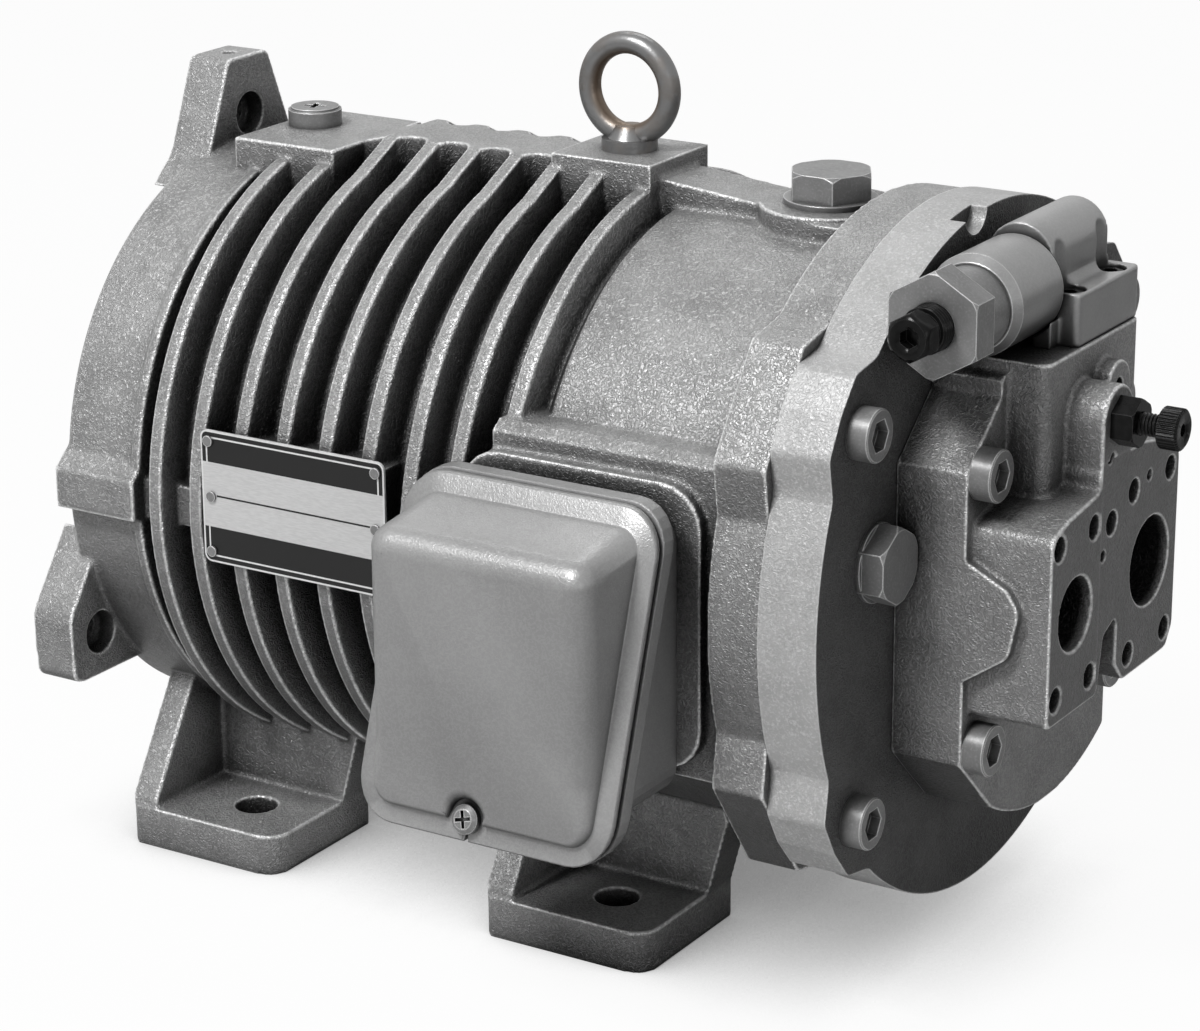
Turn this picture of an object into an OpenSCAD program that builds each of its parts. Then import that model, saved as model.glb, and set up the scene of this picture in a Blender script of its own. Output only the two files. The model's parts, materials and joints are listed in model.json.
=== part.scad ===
// Motor pump unit: an electric motor and a variable vane pump on one shaft, in one finned housing
// X runs along the shaft towards the pump, -Y is the terminal box side, Z is up.
// The origin is the centre of the four foot holes, on the plane the feet stand on.

/* [Base and feet] */
// Height of the shaft above the base
shaft_h = 143.4; // [141:0.1:150]
// Distance between the foot holes along the shaft
foot_pitch_x = 160; // [152:1:168]
// Distance between the foot holes across the shaft
foot_pitch_y = 150; // [144:1:154]
// Diameter of the foot holes
foot_hole_d = 16; // [12:0.5:18]
// Thickness of the foot plates
foot_t = 15.5; // [12:0.5:18]
// Foot plate length from its hole towards the pump
foot_front = 26.3; // [22:0.1:32]
// Foot plate length from its hole towards the rear
foot_back = 40.8; // [34:0.1:46]
// Distance from a foot hole to the outer edge of its plate
foot_edge = 23.5; // [18:0.5:28]
// Distance from a foot hole to its upright wall
foot_wall_in = 19; // [17:0.5:24]
// Thickness of the upright wall of a foot
foot_wall_t = 17; // [12:0.5:20]
// Thickness of the sloping rib of a foot
rib_t = 11; // [8:0.5:14]
// Distance of the top of the sloping rib below the shaft
rib_drop = 63.4; // [56:0.1:72]
// Radius of the front corners of a foot plate
foot_corner_r = 9; // [4:0.5:12]
// Radius of the rear corners of a foot plate
foot_rear_r = 3; // [2:0.5:5]

/* [Motor frame] */
// Rear end of the motor frame
frame_rear = -135.5; // [-140:0.5:-134]
// Joint face between the motor frame and the adapter flange
frame_front = 163.3; // [162:0.1:168]
// Height of the smooth rear bell over the bottom of the fins
bell_rise = 6.2; // [5:0.1:7.5]
// Length of the smooth rear bell
bell_len = 36; // [30:0.5:38]
// Radius over the fins
fin_r = 117; // [114:0.5:119]
// Depth of the fins
fin_depth = 14; // [12:0.5:15]
// Wall between the bottom of the fins and the stator bore
frame_wall = 9; // [8:0.5:10]
// Number of fins
fin_count = 9; // [7:1:9]
// Place of the first fin
fin_first = -88; // [-89:0.5:-86]
// Distance from fin to fin
fin_pitch = 18.2; // [17:0.1:18.4]
// Thickness of a fin at its tip
fin_tip_t = 5.6; // [3:0.1:6]
// Thickness of a fin at its root
fin_root_t = 9.6; // [8:0.1:11]
// Height of the smooth barrel in front of the fins over the bottom of the fins
barrel_rise = 6; // [4:0.5:7.5]
// Radius of the frame flange
flange_r = 121.5; // [120:0.5:125]
// Thickness of the frame flange
frame_flange_t = 19.5; // [17:0.5:22]
// Width of the lengthways ridge on top of the fins
spine_w = 32; // [26:1:36]
// Height of the ridge over the smooth barrel
spine_rise = 9; // [7:0.5:10]
// Height of the ridge over the tips of the fins
ridge_rise = 4; // [2:0.5:5]
// Width of the slope from the ridge down to the tips of the fins
ridge_slope = 20; // [14:1:24]

/* [Mounting ears] */
// Radius of the circle through the ear holes
ear_circle_r = 118; // [116:0.5:120]
// Diameter of an ear hole
ear_hole_d = 11; // [9:0.5:12]
// Diameter of the counterbore of an ear hole
ear_bore_d = 16; // [14:0.5:19]
// Depth of the counterbore of an ear hole
ear_bore_depth = 8; // [5:0.5:11]
// Radius at the outer end of an ear
ear_tip_r = 140.5; // [136:0.5:143]
// Width of an ear at its tip
ear_tip_w = 24; // [22:0.5:30]
// Width of an ear where it meets the bell
ear_root_w = 52; // [46:1:58]
// Distance of the outer side of the lower ears from the shaft
ear_side_out = 118; // [116:0.5:121]
// Distance of the underside of the lower ears below the shaft
ear_side_drop = 75.4; // [72:0.1:78]
// Thickness of an ear along the shaft
ear_t = 18; // [15:0.5:22]
// Distance the ears stand out behind the frame
ear_overhang = 11; // [8:0.5:12]

/* [Side ledges] */
// Height of the ledge on each side of the rear bell
ledge_h = 15; // [12:0.5:18]
// Distance of the ledge face from the shaft
ledge_out = 115; // [112:0.5:118]

/* [Rear cover] */
// Thickness of the rear cover plate
rear_cover_t = 9; // [7:0.5:12]
// Pitch circle radius of the rear cover screws
rear_screw_circle_r = 86; // [84:0.5:88]
// Radius of the bearing cap
bearing_cap_r = 45; // [43:0.5:50]
// Thickness of the bearing cap
bearing_cap_t = 6; // [4:0.5:8]

/* [Adapter flange] */
// Thickness of the adapter flange disc
adapter_t = 21.6; // [19:0.1:24]
// Radius of the adapter flange disc
adapter_r = 122.5; // [120:0.5:125]
// Radius of the circle through the flange screws
flange_screw_circle_r = 117; // [115:0.5:119]
// Angle of the flange screws above and below the shaft
flange_screw_angle = 35; // [32:0.5:38]
// Radius over the screw lobes
lobe_r = 131; // [129:0.5:133]
// Half angle of a screw lobe at its top
lobe_top_angle = 6.5; // [5:0.5:8]
// Half angle of a screw lobe at its root
lobe_root_angle = 11.5; // [9:0.5:13]
// Half angle of a lobe of the frame flange at its flat top
frame_lobe_top_angle = 9.5; // [8:0.5:11]
// Half angle of a lobe of the frame flange at its root
frame_lobe_root_angle = 17.5; // [15:0.5:19]

/* [Terminal box] */
// Place of the terminal box along the shaft
box_mid = 85; // [82:0.5:88]
// Width of the terminal box
box_w = 100; // [94:1:104]
// Distance of the bottom edge of the terminal box rim below the shaft
box_drop = 71.4; // [68:0.1:74]
// Height of the terminal box rim
box_h = 114; // [110:0.5:118]
// Distance of the rim face from the shaft at its bottom edge
rim_out_low = 166; // [160:0.5:170]
// Distance of the rim face from the shaft at its top edge
rim_out_top = 129; // [126:0.5:134]
// Thickness of the rim
rim_t = 6; // [5:0.5:8]
// Radius of the upright corners of the box
box_corner_r = 15; // [10:0.5:18]
// Distance of the cover front from the shaft
cover_out = 170.5; // [169:0.5:176]
// Step from the rim edge in to the cover
cover_step = 4.5; // [3:0.5:6]
// Radius of the soft front edges of the cover
cover_edge_r = 12; // [8:0.5:14]
// Wall thickness of the pressed cover
cover_wall = 2.5; // [2:0.25:3]
// Thickness of the cover gasket
gasket_t = 1.5; // [1:0.25:2]
// Distance of the cast pad face from the shaft
pad_out = 109; // [108:0.5:111]
// Height of the cast ledge above the terminal box
pad_over = 11; // [9:0.5:13]
// Height of the bottom of the cast pad above the bottom edge of the terminal box
pad_under = 12; // [8:0.5:15]
// Diameter of the cable entry
cable_entry_d = 21; // [18:0.5:24]

/* [Nameplate] */
// Length of the plate
plate_len = 79; // [70:1:84]
// Height of the plate
plate_h = 49; // [44:1:54]
// Thickness of the plate
plate_t = 1; // [0.6:0.1:1.5]
// Place of the plate along the shaft
plate_mid = -25.5; // [-28:0.5:-22]
// Height of the plate middle above the shaft
plate_rise = 10; // [4:0.5:12]

/* [Lifting eye and plugs] */
// Place of the lifting eye along the shaft
eye_x = 40.4; // [38:0.2:43]
// Outer diameter of the eye ring
eye_od = 41; // [39:0.5:43]
// Thickness of the eye ring
eye_wire = 8; // [7:0.25:9]
// Diameter of the eye collar
eye_collar_d = 20; // [18:0.5:24]
// Height of the eye collar
eye_collar_h = 7; // [6:0.5:9]
// Diameter of the eye shank
eye_shank_d = 10; // [8:0.5:12]
// Length of the eye block along the shaft
eye_block_l = 41; // [36:1:44]
// Width of the eye block across the shaft
eye_block_w = 40; // [36:1:44]
// Height of the eye block over the smooth barrel
eye_block_rise = 15; // [13:0.2:17]
// Place of the filler plug along the shaft
fill_x = 121.8; // [119:0.2:123]
// Height of the filler plug boss over the smooth barrel
fill_rise = 5.6; // [4:0.1:8]
// Diameter of the filler plug boss
fill_boss_d = 50; // [46:0.5:52]
// Distance across the flats of the filler plug
fill_af = 27; // [24:0.5:28]
// Diameter of the filler plug washer
fill_washer_d = 33; // [32.5:0.5:36]
// Place of the breather plug along the shaft
vent_x = -98; // [-100:0.5:-96]
// Height of the breather plug pad over the tips of the fins
vent_rise = 0.2; // [0.1:0.1:2]
// Diameter of the breather plug head
vent_d = 20; // [18:0.5:22]

/* [Pump housing] */
// Middle of the pump housing across the shaft
pump_y = -12.2; // [-14:0.2:-10]
// Width of the pump housing flange
pump_w = 114.6; // [112:0.2:118]
// Thickness of the pump housing flange
pump_flange_t = 26.1; // [25:0.1:30]
// Radius of the pump housing flange
pump_r = 88; // [87:0.5:91]
// Distance between the pump screws
pump_screw_pitch = 96; // [94:0.5:98]
// Distance from the adapter face to the port face
port_depth = 55.1; // [53:0.1:60]
// Width of the port block
port_w = 103; // [101:0.5:104]
// Distance from the middle of the pump to the delivery side of the port block
port_out = 53; // [52:0.5:54]
// Step of the port face from the delivery half to the suction half
port_step = 1; // [0.5:0.1:2]
// Height of the port block over the shaft
port_top = 31; // [30:0.5:33]
// Depth of the port block under the shaft
port_low = 35; // [34:0.5:38]
// Distance from the adapter face to the control block face
control_depth = 41; // [39:0.5:44]
// Lower side of the control block across the shaft
control_y0 = -42; // [-44:0.5:-40]
// Upper side of the control block across the shaft
control_y1 = 29.5; // [28:0.5:31]
// Height of the control block over the shaft
control_rise = 81.6; // [80:0.1:84]
// Reach of the S-shaped boss on the side wall from the housing flange
side_boss_l = 19; // [16:0.5:21]

/* [Ports] */
// Diameter of the delivery port
delivery_d = 25.4; // [22:0.1:27]
// Place of the delivery port across the shaft
delivery_y = -45.8; // [-47:0.1:-45]
// Distance across the flange holes of the delivery port
delivery_pitch_y = 26.2; // [25:0.1:27]
// Distance up the flange holes of the delivery port
delivery_pitch_z = 52.4; // [50:0.1:53]
// Diameter of the suction port
suction_d = 31.8; // [28:0.1:34]
// Place of the suction port across the shaft
suction_y = 15.6; // [15:0.1:17]
// Distance across the flange holes of the suction port
suction_pitch_y = 30.2; // [29:0.1:31]
// Distance up the flange holes of the suction port
suction_pitch_z = 58.7; // [57:0.1:60]
// Diameter of the threaded flange holes
port_hole_d = 8.5; // [7:0.1:8.5]
// Depth of the threaded flange holes
port_hole_depth = 18; // [12:0.5:20]
// Diameter of the gauge port
gauge_d = 8.6; // [7:0.1:10]

/* [Compensator] */
// Distance from the adapter face to the compensator axis
comp_x = 17.8; // [17.6:0.1:18.2]
// Height of the compensator axis over the control block
comp_rise = 19.4; // [18.8:0.1:22]
// Height of the compensator base
comp_base_h = 18; // [15:0.5:18]
// Length of the compensator base across the shaft
comp_base_l = 47.5; // [46:0.5:50]
// Radius of the arched back of the compensator body
comp_arch_r = 12; // [11.5:0.5:13]
// Height of the arched back over the compensator base
comp_arch_h = 22; // [20:0.5:24]
// Length of the arched back of the compensator body
comp_body_l = 43.5; // [40:0.5:45]
// Radius of the seal ring of the compensator
comp_seal_r = 16.1; // [15:0.1:17]
// Gap between the spring sleeve and the valve body, filled by the seal ring
comp_gap = 2.6; // [1.5:0.1:3]
// Radius of the spring sleeve
sleeve_r = 17.3; // [16:0.1:17.5]
// Length of the spring sleeve
sleeve_l = 33; // [30:0.5:36]
// Radius of the spring chamber
chamber_r = 11; // [9:0.5:12]
// Distance across the flats of the compensator cap
cap_af = 31.5; // [28:0.5:32]
// Thickness of the hexagon of the compensator cap
cap_hex_t = 12.5; // [9:0.5:13]
// Length of the round neck of the compensator cap
cap_neck_l = 15; // [12:0.5:16]
// Radius of the round neck of the compensator cap
cap_neck_r = 14; // [13:0.5:15]
// Diameter of the pressure adjusting screw
press_screw_d = 16; // [12:0.5:16]
// Distance across the flats of the head of the pressure adjusting screw
press_head_af = 14.5; // [13:0.5:17]
// Radius of the compensator spool
spool_r = 5; // [4:0.25:6]

/* [Flow adjustment] */
// Place of the flow adjusting screw across the shaft
flow_y = -16.5; // [-18:0.5:-15]
// Height of the flow adjusting screw over the shaft
flow_rise = 59; // [57:0.5:61]
// Radius of the flow adjusting boss
flow_boss_r = 12; // [11:0.5:13]
// Diameter of the flow adjusting screw
flow_screw_d = 8; // [6:0.5:8]
// Distance across the flats of the flow lock nut
flow_nut_af = 15; // [13:0.5:17]
// Diameter of the knurled knob
knob_d = 14.4; // [13:0.1:16]
// Thickness of the knurled knob
knob_t = 8; // [6:0.5:10]

/* [Motor inside] */
// Length of the stator and rotor cores
core_len = 118; // [100:1:124]
// Place of the middle of the cores
core_mid = 14; // [10:1:18]
// Inner radius of the stator core
stator_bore_r = 57.5; // [55:0.5:60]
// Gap between the stator and rotor cores
air_gap = 0.5; // [0.4:0.05:0.8]
// Overhang of the windings past the stator core
winding_l = 32; // [26:1:36]
// Overhang of the cage rings past the rotor core
cage_l = 12; // [8:0.5:16]
// Radius of the shaft in the rotor core
shaft_core_r = 21; // [20.5:0.5:24]
// Radius of the shaft at the front bearing
shaft_front_r = 20; // [19:0.25:20.25]
// Radius of the shaft at the rear bearing
shaft_rear_r = 15; // [14:0.5:16]
// Radius of the shaft at the seal
shaft_seal_r = 17; // [16:0.25:18]
// Radius of the shaft in the pump rotor
shaft_pump_r = 11; // [10:0.5:12]
// Outer radius of the front bearing
front_bearing_r = 40; // [38:0.5:42]
// Width of the front bearing
front_bearing_w = 18; // [16:0.5:20]
// Outer radius of the rear bearing
rear_bearing_r = 31; // [30:0.5:33]
// Width of the rear bearing
rear_bearing_w = 16; // [14:0.5:18]
// Number of balls in a bearing
ball_count = 9; // [7:1:9]
// Outer radius of the shaft seal
seal_r = 26; // [24:0.5:28]
// Width of the shaft seal
seal_w = 8; // [7:0.5:9]

/* [Pump inside] */
// Radius of the pump chamber
pump_bore_r = 42; // [41.5:0.5:43]
// Thickness of the side plate
side_plate_t = 8; // [7:0.5:9]
// Width of the cam ring and the pump rotor
ring_w = 14; // [12:0.5:14.5]
// Thickness of the port plate
port_plate_t = 5; // [4:0.5:5.5]
// Outer radius of the cam ring
ring_or = 36; // [35:0.5:37]
// Inner radius of the cam ring
ring_ir = 29; // [28.5:0.5:30]
// Greatest offset of the cam ring from the shaft
ring_travel = 3; // [2:0.25:3.25]
// Radius of the pump rotor
pump_rotor_r = 25; // [24:0.25:25.25]
// Number of vanes
vane_count = 11; // [9:2:13]
// Thickness of a vane
vane_t = 2; // [1.6:0.1:2.4]
// Height of a vane
vane_h = 10; // [8:0.5:11]
// Radius of the control and bias pistons
piston_r = 6; // [5:0.25:6.5]
// Length of the control piston
piston_l = 14; // [11:0.5:16]

/* [Screws] */
// Head diameter of the flange and pump screws
cap_head_d = 18; // [17:0.5:19]
// Shank diameter of the flange and pump screws
cap_shank_d = 12; // [10:0.5:12]
// Head height of the flange and pump screws
cap_head_h = 7.8; // [7:0.1:8.5]
// Key size of the flange and pump screws
cap_key = 10; // [8:0.5:10]
// Distance across the flats of the drain plug
plug_af = 24; // [22:0.5:27]
// Height of the heads of the hexagon plugs
plug_h = 9.6; // [8:0.1:12]

/* [Fits] */
// Radial clearance of running fits
run_fit = 0.04; // [0.02:0.01:0.08]
// Clearance between parts that are seated on each other
seat_fit = 0.05; // [0.02:0.01:0.1]
// Smoothness of the round surfaces
round_fn = 64; // [48:8:96]

/* [Hidden] */
$fn = round_fn;

// Places along the shaft that several pieces share
adapter_face = frame_front + adapter_t;
flange_back = frame_front - frame_flange_t;
port_face = adapter_face + port_depth;
pump_face = adapter_face + pump_flange_t;
control_face = adapter_face + control_depth;
bell_end = frame_rear + bell_len;
fin_last = fin_first + fin_pitch * (fin_count - 1);
foot_x = [-foot_pitch_x / 2, foot_pitch_x / 2];
sides = [-1, 1];
core_rear = core_mid - core_len / 2;
core_front = core_mid + core_len / 2;
valley_r = fin_r - fin_depth;
frame_bore_r = valley_r - frame_wall;
bell_r = valley_r + bell_rise;
barrel_r = valley_r + barrel_rise;
barrel_top = shaft_h + barrel_r;
eye_block_top = barrel_top + eye_block_rise;
fill_top = barrel_top + fill_rise;
vent_top = shaft_h + fin_r + vent_rise;
rib_h = shaft_h - rib_drop;
box_low = shaft_h - box_drop;
box_top = box_low + box_h;
pad_top = box_top + pad_over;
pad_low = box_low + pad_under;
control_top = shaft_h + control_rise;

// Overlap that makes cuts and joined shapes pass through each other
cut = 1;
sink = 0.5;

// Cylinder along X between two places, centred on the shaft unless told otherwise
module x_rod(x0, x1, r, y = 0, z = shaft_h) {
  translate([x0, y, z]) rotate([0, 90, 0]) cylinder(h = x1 - x0, r = r);
}

// Cylinder along Y between two places
module y_rod(y0, y1, r, x, z) {
  translate([x, y0, z]) rotate([-90, 0, 0]) cylinder(h = y1 - y0, r = r);
}

// Cylinder along Z between two heights
module z_rod(z0, z1, r, x, y = 0) {
  translate([x, y, z0]) cylinder(h = z1 - z0, r = r);
}

// Cone along X
module x_cone(x0, x1, r0, r1, y = 0, z = shaft_h) {
  translate([x0, y, z]) rotate([0, 90, 0]) cylinder(h = x1 - x0, r1 = r0, r2 = r1);
}

// Tube along X
module x_tube(x0, x1, ri, ro, y = 0, z = shaft_h) {
  difference() {
    x_rod(x0, x1, ro, y, z);
    x_rod(x0 - cut, x1 + cut, ri, y, z);
  }
}

// Box between two corners
module box(a, b) {
  translate(a) cube(b - a);
}

// Outline in Y and Z drawn out along X
module x_slab(x0, x1, points) {
  translate([x0, 0, 0]) rotate([90, 0, 90]) linear_extrude(height = x1 - x0) polygon(points);
}

// Outline in X and Z drawn out along Y
module y_slab(y0, y1, points) {
  translate([0, y1, 0]) rotate([90, 0, 0]) linear_extrude(height = y1 - y0) polygon(points);
}

// Outline in X and Y drawn out along Z
module z_slab(z0, z1, points) {
  translate([0, 0, z0]) linear_extrude(height = z1 - z0) polygon(points);
}

// Outline of radius against X, turned about the shaft
module x_turn(points) {
  translate([0, 0, shaft_h]) rotate([0, 90, 0]) rotate_extrude() polygon(points);
}

// Hexagon across the flats, as an outline
function hexagon(af, turn = 0) = [for (i = [0:5]) af / sqrt(3) * [cos(60 * i + turn), sin(60 * i + turn)]];

// One corner of an outline rounded with an arc
function corner(a, p, b, r, n) = r == 0 ? [p] :
  let (u = (a - p) / norm(a - p), v = (b - p) / norm(b - p), half = acos(u * v) / 2)
  let (c = p + (u + v) / norm(u + v) * r / sin(half))
  let (s = p + u * r / tan(half) - c, e = p + v * r / tan(half) - c)
  let (a0 = atan2(s[1], s[0]), turn = (atan2(e[1], e[0]) - a0 + 540) % 360 - 180)
  [for (i = [0:n]) c + r * [cos(a0 + turn * i / n), sin(a0 + turn * i / n)]];

// Outline with rounded corners: one radius for all of them or a list with one each
function rounded(points, r, n = 5) = let (m = len(points)) [for (i = [0:m - 1])
  each corner(points[(i + m - 1) % m], points[i], points[(i + 1) % m], is_list(r) ? r[i] : r, n)];

// Rectangle as an outline
function rect(a, b) = [a, [b[0], a[1]], b, [a[0], b[1]]];

// Places and directions of the flange screws, as angles from +Y round the shaft
flange_angles = [for (s = [0, 180], t = [-1, 1]) s + t * flange_screw_angle];
function on_circle(r, a) = [r * cos(a), shaft_h + r * sin(a)];

// Lobed outline of the adapter flange, with rounded lobes
module lobes(x0, x1, r, top) {
  x_rod(x0, x1, r);
  for (a = flange_angles) {
    one = [on_circle(r - 14, a - lobe_root_angle - 3), on_circle(r - 2, a - lobe_root_angle - 6),
      on_circle(r + 0.4, a - lobe_root_angle), on_circle(top, a - lobe_top_angle),
      on_circle(top + 0.6, a), on_circle(top, a + lobe_top_angle),
      on_circle(r + 0.4, a + lobe_root_angle), on_circle(r - 2, a + lobe_root_angle + 6),
      on_circle(r - 14, a + lobe_root_angle + 3)];
    x_slab(x0, x1, rounded(one, [0, 0, 14, 5, 0, 5, 14, 0, 0], 4));
  }
}

// Flat-topped lobes of the frame flange
module flat_lobes(x0, x1, r, top) {
  x_rod(x0, x1, r);
  for (a = flange_angles)
    x_slab(x0, x1, rounded([on_circle(r - 14, a - frame_lobe_root_angle + 3),
      on_circle(r - 0.6, a - frame_lobe_root_angle), on_circle(top, a - frame_lobe_top_angle),
      on_circle(top, a + frame_lobe_top_angle), on_circle(r - 0.6, a + frame_lobe_root_angle),
      on_circle(r - 14, a + frame_lobe_root_angle - 3)], [0, 0, 2.5, 2.5, 0, 0], 4));
}

// Socket head screw along X with its seat at the origin and its head towards +X
module cap_screw(d, head_d, head_h, key, shank) {
  rotate([0, 90, 0]) difference() {
    union() {
      cylinder(h = head_h - sink, d = head_d);
      translate([0, 0, head_h - sink]) cylinder(h = sink, d1 = head_d, d2 = head_d - 2 * sink);
      translate([0, 0, -shank]) cylinder(h = shank, d = d);
    }
    translate([0, 0, head_h / 2]) linear_extrude(height = head_h) polygon(hexagon(key, 30));
  }
}

// Fin profile: the corner points of one fin, from rear to front
function fin_points(x) = [[valley_r, x - fin_root_t / 2], [fin_r - sink, x - fin_tip_t / 2],
  [fin_r, x - fin_tip_t / 2 + sink], [fin_r, x + fin_tip_t / 2 - sink],
  [fin_r - sink, x + fin_tip_t / 2], [valley_r, x + fin_root_t / 2]];

// Bead round the front edge of the bell
bead_w = 3.5;
bead_h = 2.2;

// Outline of the frame from the bore outwards
frame_profile = concat(
  [[frame_bore_r, frame_rear], [bell_r - 2, frame_rear], [bell_r, frame_rear + 2],
    [bell_r, bell_end - bead_w - 2], [bell_r + bead_h, bell_end - bead_w], [bell_r + bead_h, bell_end],
    [valley_r, bell_end + 1]],
  [for (i = [0:fin_count - 1]) each fin_points(fin_first + i * fin_pitch)],
  [[barrel_r, fin_last + fin_root_t], [barrel_r, frame_front], [frame_bore_r, frame_front]]);

// One foot with its hole at the origin, outer edge towards -Y
module foot() {
  outer = -foot_edge;
  wall = foot_wall_in;
  back = wall + foot_wall_t;
  z_slab(0, foot_t, rounded([[-foot_back, outer], [foot_front, outer], [foot_front, back],
    [-foot_back, back]], [foot_rear_r, foot_corner_r, 0, 0]));
  // Sloping rib
  x_slab(-foot_back, -foot_back + rib_t, [[outer + 1, foot_t - sink],
    [outer + 1, foot_t + 3], [wall - 4, rib_h], [back, rib_h], [back, foot_t - sink]]);
  // Upright wall whose front edge leans towards the pump
  y_slab(wall, back, [[-foot_back, foot_t - sink], [foot_front, foot_t - sink],
    [foot_front + 8, rib_h * 0.56], [foot_front - 6, rib_h], [-foot_back, rib_h]]);
}

// Four feet, the same way round on both sides
module feet() {
  for (x = foot_x, s = sides)
    scale([1, -s, 1]) translate([x, -foot_pitch_y / 2, 0]) foot();
}

// Holes of the feet
module foot_holes() {
  for (x = foot_x, s = sides)
    z_rod(-cut, foot_t + cut, foot_hole_d / 2, x, s * foot_pitch_y / 2);
}

// Angles of the three ears from +Y
ear_angles = [90, 210, 330];
ear_rear = frame_rear - ear_overhang;
ear_front = ear_rear + ear_t;

ear_mid = (ear_rear + ear_front) / 2;

// Top ear with a flared root
module top_ear() {
  x_slab(ear_rear, ear_front, rounded([[-ear_root_w / 2 - 12, shaft_h + bell_r - 14],
    [ear_root_w / 2 + 12, shaft_h + bell_r - 14], [ear_root_w / 2, shaft_h + bell_r - 3],
    [ear_tip_w / 2, shaft_h + ear_tip_r], [-ear_tip_w / 2, shaft_h + ear_tip_r],
    [-ear_root_w / 2, shaft_h + bell_r - 3]], [0, 0, 14, 4, 4, 14]));
}

// Lower ear with an upright outer side and a flat underside
module side_ear() {
  out = ear_side_out;
  low = shaft_h - ear_side_drop;
  x_slab(ear_rear, ear_front, rounded([[0.86 * bell_r, shaft_h - 14], [out + 1, low + 26], [out, low],
    [0.62 * bell_r, low], [0.62 * bell_r, shaft_h - 60]], [0, 9, 5, 0, 0]));
}

module ear_holes() {
  for (a = ear_angles) {
    p = on_circle(ear_circle_r, a);
    x_rod(ear_rear - cut, ear_front + cut, ear_hole_d / 2, p[0], p[1]);
    x_rod(ear_front - ear_bore_depth, ear_front + cut, ear_bore_d / 2, p[0], p[1]);
  }
  // Small hole down into the top ear
  z_rod(shaft_h + ear_tip_r - 9, shaft_h + ear_tip_r + cut, 2.5, ear_mid);
}

// Lengthways ridge, eye block and plug bosses on top
module top_forms() {
  half = spine_w / 2;
  ridge_top = shaft_h + fin_r + ridge_rise;
  ridge_start = fin_first + 2 * fin_pitch;
  // Ridge between the fins, with round ends on the pockets that run into it
  difference() {
    box([ridge_start, -half, shaft_h + valley_r - 4], [fin_last, half, ridge_top]);
    for (i = [2:fin_count - 2], s = sides)
      z_rod(shaft_h + valley_r, ridge_top + cut, (fin_pitch - fin_tip_t) / 2 - 0.6,
        fin_first + (i + 0.5) * fin_pitch, s * (half + 1.5));
  }
  // Slope from the breather pad up to the ridge
  y_slab(-half + 3, half - 3, [[ridge_start - 17, shaft_h + valley_r - 4], [ridge_start + cut, shaft_h + valley_r - 4],
    [ridge_start + cut, ridge_top], [ridge_start, ridge_top], [ridge_start - 15, vent_top],
    [ridge_start - 17, vent_top]]);
  // Fins lifted up to the ridge
  for (i = [2:fin_count - 2]) let (x = fin_first + i * fin_pitch)
    x_slab(x - fin_tip_t / 2, x + fin_tip_t / 2, [[-half - ridge_slope, shaft_h + valley_r - 8],
      [half + ridge_slope, shaft_h + valley_r - 8],
      [half + ridge_slope, shaft_h + sqrt(pow(fin_r, 2) - pow(half + ridge_slope, 2))],
      [half, ridge_top], [-half, ridge_top],
      [-half - ridge_slope, shaft_h + sqrt(pow(fin_r, 2) - pow(half + ridge_slope, 2))]]);
  y_slab(-half + 3, half - 3, [[fin_last, shaft_h + barrel_r - 4], [fill_x, shaft_h + barrel_r - 4],
    [fill_x, fill_top - 0.5], [fill_x - fill_boss_d / 2 + 2, fill_top - 0.5],
    [eye_x + eye_block_l / 2, barrel_top + spine_rise], [fin_last, barrel_top + spine_rise]]);
  box([eye_x - eye_block_l / 2, -eye_block_w / 2, shaft_h + barrel_r - 8],
    [eye_x + eye_block_l / 2, eye_block_w / 2, eye_block_top]);
  z_rod(shaft_h + valley_r, fill_top, fill_boss_d / 2, fill_x);
  box([fill_x, -fill_boss_d / 2, shaft_h + barrel_r - 8], [flange_back + sink, fill_boss_d / 2, fill_top - 2]);
  box([vent_x - 13, -33, shaft_h + bell_r - 16], [vent_x + 32, 24, vent_top]);
}

// Side ledges at shaft height on the bell, and between the fins
module ledges() {
  for (s = sides) scale([1, s, 1]) {
    x_slab(frame_rear, bell_end, [[valley_r - 6, shaft_h - ledge_h / 2], [ledge_out, shaft_h - ledge_h / 2],
      [ledge_out, shaft_h + ledge_h / 2], [bell_r - 6, shaft_h + ledge_h / 2 + 10],
      [valley_r - 6, shaft_h + ledge_h / 2 + 10]]);
    x_slab(bell_end, fin_last, [[valley_r - 6, shaft_h - ledge_h / 2], [valley_r + 5, shaft_h - ledge_h / 2],
      [valley_r + 5, shaft_h + ledge_h / 2], [valley_r - 6, shaft_h + ledge_h / 2]]);
  }
}

box_x0 = box_mid - box_w / 2;
box_x1 = box_mid + box_w / 2;

// Cast pads on both sides of the smooth barrel
module side_pads() {
  x0 = fin_last - fin_root_t / 2;
  x_slab(x0, flange_back + sink, [[-pad_out, pad_low], [-60, pad_low], [-60, pad_top], [-pad_out + 4, pad_top],
    [-pad_out, pad_top - 3]]);
  y_slab(-pad_out - 5, -pad_out + sink, rounded(rect([box_x0 + 8, pad_low + 4],
    [box_x1 + 2, pad_top - 9]), box_corner_r));
}

// Pad under the nameplate
module plate_pad() {
  y_slab(-fin_r, -valley_r + 6, rect([plate_mid - plate_len / 2 + 5, plate_z - plate_h / 2 + 5],
    [plate_mid + plate_len / 2 - 5, plate_z + plate_h / 2 - 5]));
}

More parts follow.
